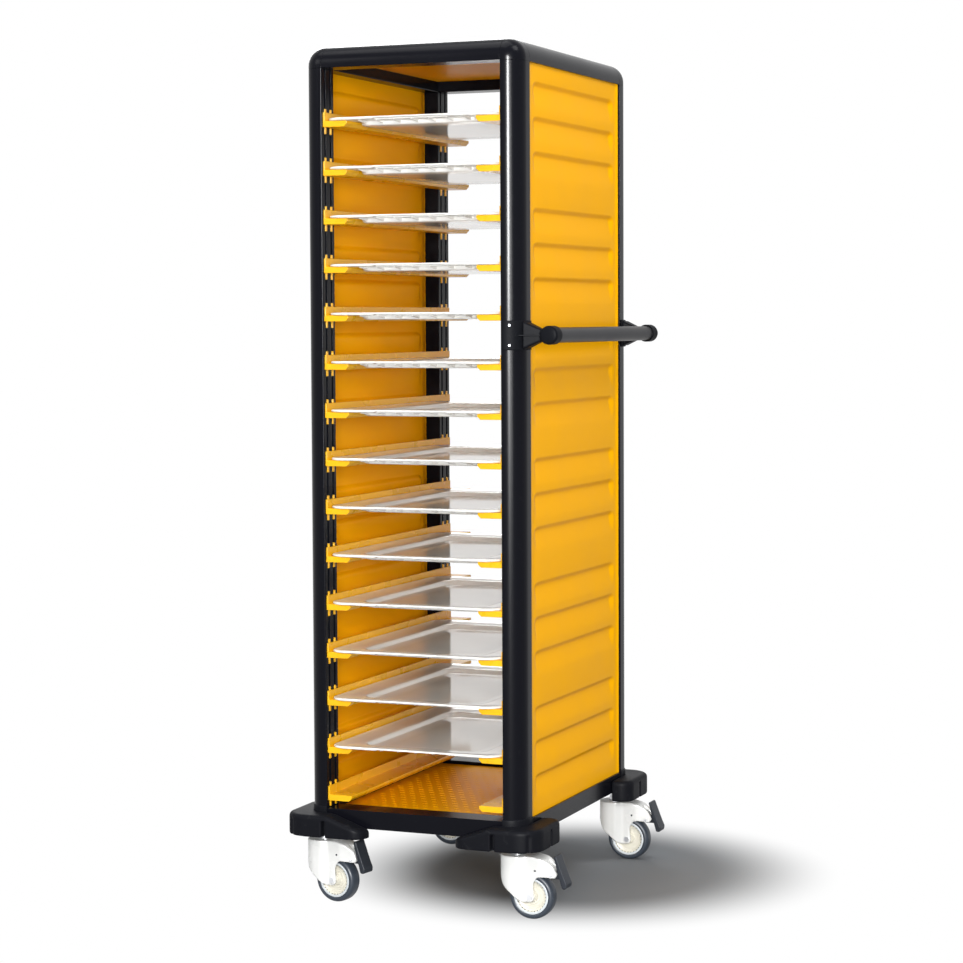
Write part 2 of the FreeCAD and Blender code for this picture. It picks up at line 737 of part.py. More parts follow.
def make_handle_bracket(end):
    """A plate wrapped round the right post, with an arm and a boss for the tube."""
    sign = ENDS[end]
    piece = new_body("handle_bracket_" + end)
    outer_x = "(%s + bracket_thickness)" % POST_X
    outer_y = "(%s + bracket_thickness)" % POST_Y
    front_end = "(%s - bracket_front_reach)" % POST_X
    side_end = "(%s - bracket_side_reach)" % POST_Y
    wrap = [(outer_x, outer_y, POST_ROUND + " + bracket_thickness"),
            (front_end, outer_y), (front_end, POST_Y),
            (POST_X, POST_Y, POST_ROUND), (POST_X, side_end), (outer_x, side_end)]
    sketch = new_sketch(piece, "XY_Plane", "handle_height")
    draw_outline(sketch, mirrored(wrap, 1, sign))
    pad(piece, sketch, "bracket_height", midplane=True)

    def arm_section(x, width, height):
        section = new_sketch(piece, "YZ_Plane", x)
        middle = "%d * %s" % (sign, HANDLE_Y)
        draw_outline(section, rectangle("%s - %s / 2" % (middle, width),
                                        "%s + %s / 2" % (middle, width),
                                        "handle_height - %s / 2" % height,
                                        "handle_height + %s / 2" % height, "arm_edge_radius"))
        return section
    root = arm_section(POST_X + " + bracket_thickness / 2", "arm_root_width", "arm_root_height")
    neck = arm_section(HANDLE_X + " - arm_neck_inset", "arm_neck_width", "arm_neck_height")
    loft(piece, "AdditiveLoft", root, neck)
    boss = new_sketch(piece, "XZ_Plane", "%d * %s" % (-sign, HANDLE_Y))
    draw_circle(boss, HANDLE_X, "handle_height", "boss_diameter / 2")
    pad(piece, boss, "boss_length", midplane=True)
    inner_face = "%d * (%s - boss_length / 2)" % (-sign, HANDLE_Y)
    socket = new_sketch(piece, "XZ_Plane", inner_face)
    draw_circle(socket, HANDLE_X, "handle_height", "handle_tube_diameter / 2 + tube_fit")
    pocket(piece, socket, "boss_length - boss_end_wall", backwards=sign < 0)
    piece.Placement = CABINET
    return piece


def make_handle_tube():
    piece = new_body("handle_tube")
    sketch = new_sketch(piece, "XZ_Plane")
    draw_circle(sketch, HANDLE_X, "handle_height", "handle_tube_diameter / 2")
    draw_circle(sketch, HANDLE_X, "handle_height", "handle_tube_diameter / 2 - handle_tube_wall")
    pad(piece, sketch, "2 * (%s + boss_length / 2 - boss_end_wall)" % HANDLE_Y, midplane=True)
    piece.Placement = CABINET
    return piece


# Bumpers -------------------------------------------------------------------------------------

def make_bumper(corner):
    """A hollow corner buffer: a cap and skirt round the frame's corner, with upright slots."""
    x_sign, y_sign = CORNERS[corner]
    piece = new_body("corner_bumper_" + corner)
    out_x = "(%s + bumper_side_reach)" % POST_X
    out_y = "(%s + bumper_front_reach)" % POST_Y
    face_x = "(%s + bumper_fit)" % POST_X
    face_y = "(%s + bumper_fit)" % POST_Y
    wing_x = "(%s - bumper_front_wing)" % POST_X
    wing_y = "(%s - bumper_side_wing)" % POST_Y
    flat_x = "(%s - %s - edge_radius)" % (POST_X, POST_ROUND)
    flat_y = "(%s - %s - edge_radius)" % (POST_Y, POST_ROUND)
    outline = [(out_x, out_y, "bumper_corner_radius"),
               (wing_x, out_y, "bumper_wing_radius"), (wing_x, POST_Y),
               (flat_x, POST_Y), (flat_x, face_y),
               (face_x, face_y, POST_ROUND + " + bumper_fit"),
               (face_x, flat_y), (POST_X, flat_y),
               (POST_X, wing_y), (out_x, wing_y, "bumper_wing_radius")]
    sketch = new_sketch(piece, "XY_Plane", BUMPER_BOTTOM)
    draw_outline(sketch, mirrored(outline, x_sign, y_sign))
    pad(piece, sketch, "bumper_rise + bumper_drop")

    slope = new_sketch(piece, "XZ_Plane")
    slope_x = "(%s - bumper_slope_start)" % POST_X
    slope_z = "(%s - bumper_slope_drop)" % BUMPER_TOP
    wedge = [(slope_x, BUMPER_TOP + " + overcut"), (slope_x, BUMPER_TOP), (wing_x, slope_z),
             (wing_x + " - overcut", slope_z),
             (wing_x + " - overcut", BUMPER_TOP + " + overcut")]
    draw_outline(slope, mirrored(wedge, x_sign))
    pocket(piece, slope, "2 * frame_depth", midplane=True)

    def on_outer_top(middle, span):
        past_x = abs(middle.x) > value(POST_X + " + overcut")
        past_y = abs(middle.y) > value(POST_Y + " + overcut")
        upper = middle.z > value(slope_z + " - overcut")
        level = abs(span.x) + abs(span.y) > value("edge_radius")
        beside = abs(middle.x) > value(wing_x + " + overcut")
        ahead = abs(middle.y) > value(POST_Y + " + bumper_front_reach / 2")
        return (past_x or past_y) and upper and level and (beside or ahead)
    round_edges(piece, on_outer_top, "bumper_edge_radius")

    hollow = new_sketch(piece, "XY_Plane", BUMPER_BOTTOM)
    in_x = "(%s - bumper_wall)" % out_x
    in_y = "(%s - bumper_wall)" % out_y
    hole_x = "(%s - bumper_cavity_reach)" % POST_X
    hole_y = "(%s - bumper_cavity_reach)" % POST_Y
    cavity = [(in_x, in_y, "bumper_corner_radius - bumper_wall"),
              (hole_x, in_y, "bumper_wing_radius - bumper_wall"),
              (hole_x, POST_Y + " - overcut"),
              (POST_X + " - overcut", POST_Y + " - overcut", POST_ROUND + " - overcut"),
              (POST_X + " - overcut", hole_y),
              (in_x, hole_y, "bumper_wing_radius - bumper_wall")]
    draw_outline(hollow, mirrored(cavity, x_sign, y_sign))
    pocket(piece, hollow, "bumper_cavity_depth", backwards=True)

    slots = new_sketch(piece, "XY_Plane", BUMPER_BOTTOM)
    past_y = "(%s + overcut)" % out_y
    past_x = "(%s + overcut)" % out_x
    half = "bumper_slot_width / 2"
    for along in ("(%s + bumper_slot_outer)" % POST_X, "(%s - bumper_slot_inner)" % POST_X):
        slot = rectangle("%s - %s" % (along, half), "%s + %s" % (along, half),
                         in_y + " - bumper_slot_reach", past_y)
        draw_outline(slots, mirrored(slot, x_sign, y_sign))
    along = "(%s - bumper_slot_inner)" % POST_Y
    slot = rectangle(in_x + " - bumper_slot_reach", past_x,
                     "%s - %s" % (along, half), "%s + %s" % (along, half))
    draw_outline(slots, mirrored(slot, x_sign, y_sign))
    pocket(piece, slots, "bumper_slot_height", backwards=True)
    piece.Placement = CABINET
    return piece


# Casters -------------------------------------------------------------------------------------

def caster_place(corner):
    x_sign, y_sign = CORNERS[corner]
    spot = Vector(CABINET_X + x_sign * value(CASTER_X), y_sign * value(CASTER_Y), 0)
    turn = value("front_left_caster_turn") if corner == "front_left" else 0
    return Placement(spot, Rotation(Vector(0, 0, 1), turn))


def make_caster_mounts():
    """Under each frame corner a plate, the swivel's bearing neck and its kingpin."""
    piece = new_body("caster_mounts")
    plates = new_sketch(piece, "XY_Plane", FRAME_BOTTOM)
    necks = new_sketch(piece, "XY_Plane", SHELL_TOP + " + neck_gap")
    pins = new_sketch(piece, "XY_Plane", SHELL_TOP + " - kingpin_length")
    for x_sign, y_sign in CORNERS.values():
        x = "%d * %s" % (x_sign, CASTER_X)
        y = "%d * %s" % (y_sign, CASTER_Y)
        low_x = "(%s - mount_plate_width)" % POST_X
        low_y = "(%s - mount_plate_length)" % POST_Y
        far_x = "(%s - edge_radius)" % POST_X
        far_y = "(%s - edge_radius)" % POST_Y
        plate = [(far_x, far_y, POST_ROUND), (low_x, far_y, "mount_corner_radius"),
                 (low_x, low_y, "mount_corner_radius"), (far_x, low_y, "mount_corner_radius")]
        draw_outline(plates, mirrored(plate, x_sign, y_sign))
        draw_circle(necks, x, y, "neck_diameter / 2")
        draw_circle(pins, x, y, "kingpin_diameter / 2")
    pad(piece, plates, "mount_plate_thickness", backwards=True)
    pad(piece, necks, "neck_height + mount_plate_thickness / 2 - neck_gap")
    pad(piece, pins, "kingpin_length + neck_gap * 2")
    piece.Placement = CABINET
    return piece


def make_caster_shell(corner):
    """The moulded swivel housing: a dome over the wheel, drawn out to a beak for the pedal."""
    piece = new_body("caster_shell_" + corner)
    side = new_sketch(piece, "XZ_Plane")
    draw_outline(side, [(c[0], "%s + %s" % (AXLE_HEIGHT, c[1])) + c[2:]
                        for c in profiles["shell_side"]])
    pad(piece, side, "2 * shell_dome_radius", midplane=True)

    trim = new_sketch(piece, "XY_Plane")
    wide = "(2 * shell_dome_radius)"
    draw_outline(trim, rectangle("-" + wide, "2 * shell_beak_reach", "-" + wide, wide))
    half_plan = profiles["shell_plan"]
    plan = mirrored(half_plan, 1, -1) + half_plan[::-1]
    draw_outline(trim, plan)
    pocket(piece, trim, midplane=True)

    bay = new_sketch(piece, "XZ_Plane")
    bay_radius = "(wheel_diameter / 2 + wheel_gap)"
    draw_circle(bay, "caster_trail", AXLE_HEIGHT, bay_radius)
    pocket(piece, bay, "tyre_width + 2 * wheel_gap", midplane=True)

    fork = new_sketch(piece, "XZ_Plane")
    throat = rectangle("fork_start", "2 * shell_beak_reach", AXLE_HEIGHT + " + fork_rise",
                       SHELL_TOP + " + overcut")
    draw_outline(fork, throat)
    pocket(piece, fork, "pedal_tongue_width + 2 * pedal_fit", midplane=True)

    holes = new_sketch(piece, "XZ_Plane")
    draw_circle(holes, "caster_trail", AXLE_HEIGHT, "axle_diameter / 2")
    draw_circle(holes, "caster_trail + pedal_pivot_reach",
                "%s + pedal_pivot_height" % AXLE_HEIGHT, "pedal_pin_diameter / 2")
    pocket(piece, holes, midplane=True)
    bore = new_sketch(piece, "XY_Plane", SHELL_TOP)
    draw_circle(bore, "0", "0", "kingpin_diameter / 2 + kingpin_fit")
    pocket(piece, bore, "kingpin_length + overcut")
    piece.Placement = caster_place(corner)
    return piece


def revolve(piece, sketch):
    feature = piece.newObject("PartDesign::Revolution", piece.Label + "_turned")
    feature.Profile = sketch
    feature.ReferenceAxis = (sketch, ["H_Axis"])
    feature.Angle = FULL_TURN


def make_wheel_part(label, corner, corners):
    """Turn a profile drawn along the axle, in the wheel's own frame."""
    piece = new_body(label + "_" + corner)
    sketch = new_sketch(piece, "YZ_Plane")
    draw_outline(sketch, corners)
    revolve(piece, sketch)
    place = caster_place(corner)
    offset = Placement(Vector(value("caster_trail"), 0, value(AXLE_HEIGHT)), Rotation())
    piece.Placement = place.multiply(offset)
    return piece


def make_wheel_core(corner):
    """A moulded disc: rim, thin web and hub boss, with a bore for the axle."""
    rim_radius = "(wheel_diameter / 2 - tyre_thickness)"
    half = "(hub_width / 2)"
    web = "(hub_web / 2)"
    boss = "(hub_boss_diameter / 2)"
    bore = "(axle_diameter / 2 + axle_fit)"
    under = "(%s - hub_rim)" % rim_radius
    corners = [("-" + half, bore), (half, bore), (half, boss), (web, boss + " + hub_web_slope"),
               (web, under + " - hub_web_slope"), (half, under), (half, rim_radius),
               ("-" + half, rim_radius), ("-" + half, under), ("-" + web, under + " - hub_web_slope"),
               ("-" + web, boss + " + hub_web_slope"), ("-" + half, boss)]
    return make_wheel_part("wheel_core", corner, corners)


def make_tyre(corner):
    """A tread with round shoulders over the core."""
    seat = "(wheel_diameter / 2 - tyre_thickness)"
    half = "(tyre_width / 2)"
    tread = "(wheel_diameter / 2)"
    corners = [("-" + half, seat), (half, seat), (half, tread, "tyre_shoulder"),
               ("-" + half, tread, "tyre_shoulder")]
    return make_wheel_part("tyre", corner, corners)


def make_caster_pins(corner):
    """The axle with its heads, and the pedal's pivot pin."""
    piece = new_body("caster_pins_" + corner)
    shafts = new_sketch(piece, "XZ_Plane")
    pivot_x = "caster_trail + pedal_pivot_reach"
    pivot_z = "%s + pedal_pivot_height" % AXLE_HEIGHT
    draw_circle(shafts, "caster_trail", AXLE_HEIGHT, "axle_diameter / 2")
    pad(piece, shafts, "2 * shell_half_width", midplane=True)
    for sign in (1, -1):
        head = new_sketch(piece, "XZ_Plane", "%d * shell_half_width" % sign)
        draw_circle(head, "caster_trail", AXLE_HEIGHT, "axle_head_diameter / 2")
        pad(piece, head, "axle_head_height", backwards=sign < 0)
    pivot = new_sketch(piece, "XZ_Plane")
    draw_circle(pivot, pivot_x, pivot_z, "pedal_pin_diameter / 2")
    pad(piece, pivot, "pedal_pin_length", midplane=True)
    piece.Placement = caster_place(corner)
    return piece


def make_pedal(corner):
    """A curved rocker on the beak's pivot: a high release lip above and a brake lobe below."""
    piece = new_body("brake_pedal_" + corner)
    side = new_sketch(piece, "XZ_Plane")
    draw_outline(side, profiles["pedal_side"])
    pad(piece, side, "pedal_width", midplane=True)
    tongue = new_sketch(piece, "XZ_Plane")
    draw_outline(tongue, profiles["pedal_lug"])
    pad(piece, tongue, "pedal_tongue_width", midplane=True)
    hole = new_sketch(piece, "XZ_Plane")
    draw_circle(hole, "0", "0", "pedal_pin_diameter / 2 + pedal_pin_fit")
    pocket(piece, hole, midplane=True)
    offset = Placement(Vector(value("caster_trail + pedal_pivot_reach"), 0,
                              value("%s + pedal_pivot_height" % AXLE_HEIGHT)), Rotation())
    piece.Placement = caster_place(corner).multiply(offset)
    return piece


# Assembly ------------------------------------------------------------------------------------

pieces = []
for corner in CORNERS:
    pieces.append(make_post(corner))
    pieces.append(make_bumper(corner))
pieces.append(make_top_corners())
for name in list(ENDS) + list(SIDES):
    pieces.append(make_top_bar(name))
pieces.append(make_bottom_bars("bottom_bars_ends", ENDS))
pieces.append(make_bottom_bars("bottom_bars_sides", SIDES))
for side in SIDES:
    pieces.append(make_side_panel(side))
    pieces.append(make_rails(side))
pieces.append(make_sheet("top_panel", TOP_SHEET))
pieces.append(make_sheet("base_panel", BASE_SHEET))
for level in range(1, int(value("tray_count")) + 1):
    pieces.append(make_tray(level))
for end in ENDS:
    pieces.append(make_handle_bracket(end))
pieces.append(make_handle_tube())
pieces.append(make_caster_mounts())
for corner in CORNERS:
    pieces.append(make_caster_shell(corner))
    pieces.append(make_wheel_core(corner))
    pieces.append(make_tyre(corner))
    pieces.append(make_caster_pins(corner))
    pieces.append(make_pedal(corner))

doc.recompute()

for item in doc.Objects:
    if "Invalid" in item.State or "Error" in item.State:
        raise RuntimeError("%s did not compute" % item.Label)
for piece in pieces:
    if piece.Shape.isNull() or not piece.Shape.isValid() or not piece.Shape.Solids:
        raise RuntimeError("%s has no valid solid" % piece.Label)

os.makedirs("parts", exist_ok=True)
for piece in pieces:
    piece.Shape.exportStep("parts/%s.step" % piece.Label)
print("%d pieces" % len(pieces))
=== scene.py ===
import json
import math

import bmesh
import bpy
from mathutils import Matrix, Vector

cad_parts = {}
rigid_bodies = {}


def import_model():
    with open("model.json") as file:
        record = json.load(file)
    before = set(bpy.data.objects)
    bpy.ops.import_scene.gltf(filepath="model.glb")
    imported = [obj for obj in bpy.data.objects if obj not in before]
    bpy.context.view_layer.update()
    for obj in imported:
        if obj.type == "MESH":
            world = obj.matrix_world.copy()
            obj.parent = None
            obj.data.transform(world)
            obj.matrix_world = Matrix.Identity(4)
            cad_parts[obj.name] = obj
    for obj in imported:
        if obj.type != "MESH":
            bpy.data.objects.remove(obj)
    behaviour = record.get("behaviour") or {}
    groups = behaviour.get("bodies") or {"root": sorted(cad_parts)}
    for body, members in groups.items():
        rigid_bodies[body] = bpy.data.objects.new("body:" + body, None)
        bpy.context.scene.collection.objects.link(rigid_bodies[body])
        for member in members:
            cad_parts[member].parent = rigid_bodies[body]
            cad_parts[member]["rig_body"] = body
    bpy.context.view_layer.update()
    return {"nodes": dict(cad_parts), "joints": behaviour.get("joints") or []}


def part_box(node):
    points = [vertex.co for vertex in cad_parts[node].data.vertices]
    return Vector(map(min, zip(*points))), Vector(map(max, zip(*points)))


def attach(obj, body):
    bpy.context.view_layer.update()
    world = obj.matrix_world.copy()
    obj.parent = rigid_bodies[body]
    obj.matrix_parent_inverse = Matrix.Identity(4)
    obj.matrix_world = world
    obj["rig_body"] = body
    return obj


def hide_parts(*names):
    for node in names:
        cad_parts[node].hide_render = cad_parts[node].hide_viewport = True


# Meal tray cart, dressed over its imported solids. Metres, +Z up, the front is -Y.

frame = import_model()
nodes = frame["nodes"]
MM = 0.001


# Node trees ------------------------------------------------------------------------------------

def add_node(tree, kind, inputs=None, **settings):
    """A node whose inputs are numbers, colours or other nodes' outputs."""
    node = tree.nodes.new(kind)
    for name, setting in settings.items():
        setattr(node, name, setting)
    for key, source in (inputs or {}).items():
        if isinstance(source, bpy.types.NodeSocket):
            tree.links.new(source, node.inputs[key])
        else:
            node.inputs[key].default_value = source
    return node


def maths(tree, operation, first, second=None):
    inputs = {0: first} if second is None else {0: first, 1: second}
    return add_node(tree, "ShaderNodeMath", inputs, operation=operation).outputs[0]


def new_tree(name, sizes):
    """A tree that takes a shape and named sizes, each with its socket's kind."""
    tree = bpy.data.node_groups.new(name, "GeometryNodeTree")
    socket = tree.interface.new_socket
    socket("Geometry", in_out="OUTPUT", socket_type="NodeSocketGeometry")
    socket("Geometry", in_out="INPUT", socket_type="NodeSocketGeometry")
    for label, kind in sizes.items():
        socket(label, in_out="INPUT", socket_type="NodeSocket" + kind)
    return tree, tree.nodes.new("NodeGroupInput").outputs


def close_tree(tree, shape, finish):
    """Ends a tree: every copy made real, then painted."""
    whole = add_node(tree, "GeometryNodeRealizeInstances", {0: shape}).outputs[0]
    painted = add_node(tree, "GeometryNodeSetMaterial",
                       {"Geometry": whole, "Material": finishes[finish]}).outputs[0]
    add_node(tree, "NodeGroupOutput", {0: painted})
    return tree


def row_tree(name, finish):
    """Repeats a shape along a straight row."""
    tree, given = new_tree(name, {"Count": "Int", "Step": "Vector"})
    line = add_node(tree, "GeometryNodeMeshLine",
                    {"Count": given["Count"], "Offset": given["Step"]}).outputs[0]
    copies = add_node(tree, "GeometryNodeInstanceOnPoints",
                      {"Points": line, "Instance": given["Geometry"]}).outputs[0]
    return close_tree(tree, copies, finish)


def ring_tree(name, finish):
    """Repeats a shape at even turns round the Z axis."""
    tree, given = new_tree(name, {"Count": "Int"})
    line = add_node(tree, "GeometryNodeMeshLine",
                    {"Count": given["Count"], "Offset": (0, 0, 0)}).outputs[0]
    number = tree.nodes.new("GeometryNodeInputIndex").outputs[0]
    angle = maths(tree, "MULTIPLY", number, maths(tree, "DIVIDE", math.tau, given["Count"]))
    turn = add_node(tree, "ShaderNodeCombineXYZ", {2: angle}).outputs[0]
    copies = add_node(tree, "GeometryNodeInstanceOnPoints", {
        "Points": line, "Instance": given["Geometry"], "Rotation": turn}).outputs[0]
    return close_tree(tree, copies, finish)


def field_tree(name, finish):
    """Repeats a shape over a field in rows, every other row moved by half a pitch."""
    tree, given = new_tree(name, {"Columns": "Int", "Rows": "Int", "Pitch": "Float"})
    size_x = maths(tree, "MULTIPLY", maths(tree, "SUBTRACT", given["Columns"], 1.0),
                   given["Pitch"])
    size_y = maths(tree, "MULTIPLY", maths(tree, "SUBTRACT", given["Rows"], 1.0),
                   given["Pitch"])
    grid = add_node(tree, "GeometryNodeMeshGrid", {
        "Size X": size_x, "Size Y": size_y, "Vertices X": given["Columns"],
        "Vertices Y": given["Rows"]}).outputs[0]
    place = add_node(tree, "ShaderNodeSeparateXYZ", {
        0: tree.nodes.new("GeometryNodeInputPosition").outputs[0]}).outputs
    from_end = maths(tree, "ADD", place["Y"], maths(tree, "MULTIPLY", size_y, 0.5))
    row_number = maths(tree, "ROUND", maths(tree, "DIVIDE", from_end, given["Pitch"]))
    odd = maths(tree, "MODULO", row_number, 2.0)
    aside = maths(tree, "MULTIPLY", odd, maths(tree, "MULTIPLY", given["Pitch"], 0.5))
    moved = add_node(tree, "GeometryNodeSetPosition", {
        "Geometry": grid,
        "Offset": add_node(tree, "ShaderNodeCombineXYZ", {0: aside}).outputs[0]}).outputs[0]
    copies = add_node(tree, "GeometryNodeInstanceOnPoints",
                      {"Points": moved, "Instance": given["Geometry"]}).outputs[0]
    return close_tree(tree, copies, finish)


def heads_tree(name, finish):
    """Sets a head on every point of a mesh, turned to the point's own facing."""
    tree, given = new_tree(name, {"Head": "Object"})
    head = add_node(tree, "GeometryNodeObjectInfo", {"Object": given["Head"]}).outputs["Geometry"]
    facing = add_node(tree, "GeometryNodeInputNamedAttribute", {"Name": "facing"},
                      data_type="FLOAT_VECTOR").outputs[0]
    turned = add_node(tree, "FunctionNodeAlignRotationToVector", {"Vector": facing},
                      axis="Z").outputs[0]
    copies = add_node(tree, "GeometryNodeInstanceOnPoints", {
        "Points": given["Geometry"], "Instance": head, "Rotation": turned}).outputs[0]
    return close_tree(tree, copies, finish)


# Finishes --------------------------------------------------------------------------------------

finishes = {}
CLOUD_SCALE = 9.0
SCRATCH_SCALE = 60.0
# The range of the scratch noise over which a surface goes from whole to worn
WORN_FROM, WORN_TO = 0.6, 0.75
# The range of the cloud noise that moves the roughness, by how much of its own it moves,
# and what wear adds to it
CLOUD_FROM, CLOUD_TO = 0.3, 0.7
GLOSS_STRAY = 0.12
WORN_ROUGHNESS = 0.3


def tinted(colour, amount):
    return tuple(min(1.0, channel * amount) for channel in colour) + (1.0,)


def make_finish(name, colour, gloss, grain, depth, mottle=0.12, stretch=(1, 1, 1), metal=0.0,
                specular=0.5, scuffs=0.0, cells=False):
    """A moulded, painted or plated surface: an uneven tone, a fine grain and light scuffs."""
    material = bpy.data.materials.new(name)
    material.use_nodes = True
    tree = material.node_tree
    shader = tree.nodes["Principled BSDF"]
    shader.inputs["Metallic"].default_value = metal
    shader.inputs["Specular IOR Level"].default_value = specular
    place = add_node(tree, "ShaderNodeTexCoord").outputs["Object"]
    drawn = add_node(tree, "ShaderNodeMapping", {"Vector": place, "Scale": stretch})
    cloud = add_node(tree, "ShaderNodeTexNoise",
                     {"Vector": drawn.outputs[0], "Scale": CLOUD_SCALE, "Detail": 5.0})
    tone = add_node(tree, "ShaderNodeMix", {
        0: cloud.outputs[0], 6: tinted(colour, 1 - mottle), 7: tinted(colour, 1 + mottle)},
        data_type="RGBA").outputs[2]
    scratch = add_node(tree, "ShaderNodeTexNoise", {
        "Vector": place, "Scale": SCRATCH_SCALE, "Detail": 8.0, "Distortion": 1.5})
    worn = add_node(tree, "ShaderNodeMapRange", {
        0: scratch.outputs[0], 1: WORN_FROM, 2: WORN_TO, 3: 0.0, 4: scuffs}).outputs[0]
    pale = tuple(0.6 * channel + 0.12 for channel in colour) + (1.0,)
    tone = add_node(tree, "ShaderNodeMix", {0: worn, 6: tone, 7: pale},
                    data_type="RGBA").outputs[2]
    tree.links.new(tone, shader.inputs["Base Color"])
    rough = add_node(tree, "ShaderNodeMapRange", {
        0: cloud.outputs[0], 1: CLOUD_FROM, 2: CLOUD_TO, 3: gloss * (1 - GLOSS_STRAY),
        4: gloss * (1 + GLOSS_STRAY)}).outputs[0]
    wear = maths(tree, "MULTIPLY", worn, WORN_ROUGHNESS)
    tree.links.new(maths(tree, "ADD", rough, wear), shader.inputs["Roughness"])
    kind = "ShaderNodeTexVoronoi" if cells else "ShaderNodeTexNoise"
    fine = add_node(tree, kind, {"Vector": drawn.outputs[0], "Scale": 1 / grain})
    bump = add_node(tree, "ShaderNodeBump", {
        "Height": fine.outputs[0], "Strength": 1.0, "Distance": depth})
    tree.links.new(bump.outputs[0], shader.inputs["Normal"])
    finishes[name] = material


make_finish("frame_black", (0.0036, 0.0038, 0.0062), 0.22, 0.5 * MM, 0.0015 * MM,
            stretch=(1, 1, 0.05), specular=0.07, scuffs=0.015)
make_finish("yellow_panel", (0.95, 0.44, 0.0015), 0.34, 1.1 * MM, 0.04 * MM, mottle=0.03,
            specular=0.015, cells=True, scuffs=0.03)
make_finish("yellow_rail", (0.90, 0.47, 0.004), 0.28, 0.8 * MM, 0.01 * MM, mottle=0.04,
            specular=0.3)
make_finish("white_tray", (0.84, 0.825, 0.79), 0.1, 0.7 * MM, 0.004 * MM, mottle=0.03)
make_finish("bumper_black", (0.0070, 0.0074, 0.0098), 0.45, 0.7 * MM, 0.05 * MM, specular=0.03,
            scuffs=0.08, cells=True)
make_finish("bracket_black", (0.0080, 0.0086, 0.0108), 0.42, 1.0 * MM, 0.07 * MM,
            specular=0.012, cells=True)
make_finish("handle_grey", (0.034, 0.034, 0.037), 0.34, 0.8 * MM, 0.02 * MM, specular=0.04)
make_finish("caster_white", (0.78, 0.78, 0.76), 0.26, 0.9 * MM, 0.006 * MM, mottle=0.03)
make_finish("wheel_cream", (0.72, 0.69, 0.59), 0.38, 0.9 * MM, 0.01 * MM, mottle=0.04)
make_finish("wheel_ring", (0.60, 0.64, 0.66), 0.5, 0.9 * MM, 0.01 * MM, mottle=0.06)
make_finish("tyre_grey", (0.040, 0.050, 0.066), 0.4, 0.9 * MM, 0.03 * MM, specular=0.2,
            scuffs=0.3)
make_finish("pedal_grey", (0.024, 0.028, 0.036), 0.42, 0.8 * MM, 0.03 * MM, specular=0.12,
            cells=True)
make_finish("zinc", (0.70, 0.71, 0.73), 0.3, 0.6 * MM, 0.01 * MM, stretch=(1, 1, 0.1),
            metal=1.0)
make_finish("screw_steel", (0.15, 0.155, 0.165), 0.3, 0.4 * MM, 0.01 * MM, metal=1.0)


# Pieces ----------------------------------------------------------------------------------------

def body_of(node):
    return nodes[node]["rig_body"]


def slot_of(node):
    """The finish that the record gives a node."""
    return nodes[node].material_slots[0].material.name.split(".")[0]


def mesh_from(bm, name):
    """The finished mesh of a build in progress."""
    mesh = bpy.data.meshes.new(name)
    bm.to_mesh(mesh)
    bm.free()
    return mesh


def smooth(mesh, angle):
    """Shades a mesh smooth, apart from edges that turn by more than the angle in degrees."""
    mesh.polygons.foreach_set("use_smooth", [True] * len(mesh.polygons))
    mesh.set_sharp_from_angle(angle=math.radians(angle))
    return mesh


def fit(name, mesh, body, finish, stands_for=()):
    """A finished mesh becomes a piece that rides on a body and stands for CAD nodes."""
    piece = bpy.data.objects.new(name, mesh)
    bpy.context.scene.collection.objects.link(piece)
    mesh.materials.clear()
    mesh.materials.append(finishes[finish])
    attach(piece, body)
    if stands_for:
        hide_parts(*stands_for)
    return piece


def shaped(mesh, *modifiers):
    """The mesh after modifiers, each a type and its settings, as a plain mesh."""
    carrier = bpy.data.objects.new("carrier", mesh)
    bpy.context.scene.collection.objects.link(carrier)
    for kind, settings in modifiers:
        modifier = carrier.modifiers.new(kind, kind)
        if kind == "NODES":
            modifier.node_group = settings["node_group"]
            sockets = modifier.node_group.interface.items_tree
            for name, setting in settings.items():
                if name != "node_group":
                    modifier[sockets[name].identifier] = setting
            continue
        for name, setting in settings.items():
            setattr(modifier, name, setting)
    bpy.context.view_layer.update()
    graph = bpy.context.evaluated_depsgraph_get()
    result = bpy.data.meshes.new_from_object(carrier.evaluated_get(graph))
    bpy.data.objects.remove(carrier)
    return result


def merged_copy(node, keep=None):
    """A copy of a CAD node's mesh with its corners joined and its flat faces whole."""
    bm = bmesh.new()
    bm.from_mesh(nodes[node].data)
    if keep:
        drop = [face for face in bm.faces if not keep(face.calc_center_median())]
        bmesh.ops.delete(bm, geom=drop, context="FACES")
    bmesh.ops.remove_doubles(bm, verts=bm.verts, dist=0.01 * MM)
    bmesh.ops.dissolve_limit(bm, angle_limit=math.radians(1), verts=bm.verts, edges=bm.edges)
    return mesh_from(bm, node + "_copy")


# Edges that turn by more than this many degrees are rounded over
EASED_ANGLE = 32


def eased(mesh, width):
    """The mesh with its sharp edges rounded over and its flat faces shaded flat."""
    bevel = ("BEVEL", {"width": width, "segments": 2, "limit_method": "ANGLE",
                       "angle_limit": math.radians(EASED_ANGLE), "use_clamp_overlap": True})
    rounded = smooth(shaped(mesh, bevel), 50)
    return shaped(rounded, ("WEIGHTED_NORMAL", {"keep_sharp": True}))


def moulded(node, voxel, rounds):
    """A node's shape as a moulding comes out: every edge soft."""
    remesh = ("REMESH", {"mode": "VOXEL", "voxel_size": voxel})
    soften = ("SMOOTH", {"factor": 0.5, "iterations": rounds})
    return smooth(shaped(merged_copy(node), remesh, soften), 60)


def joined(*meshes):
    """One mesh of several, each shaded as it was."""
    bm = bmesh.new()
    for mesh in meshes:
        bm.from_mesh(mesh)
    return mesh_from(bm, meshes[0].name + "_whole")


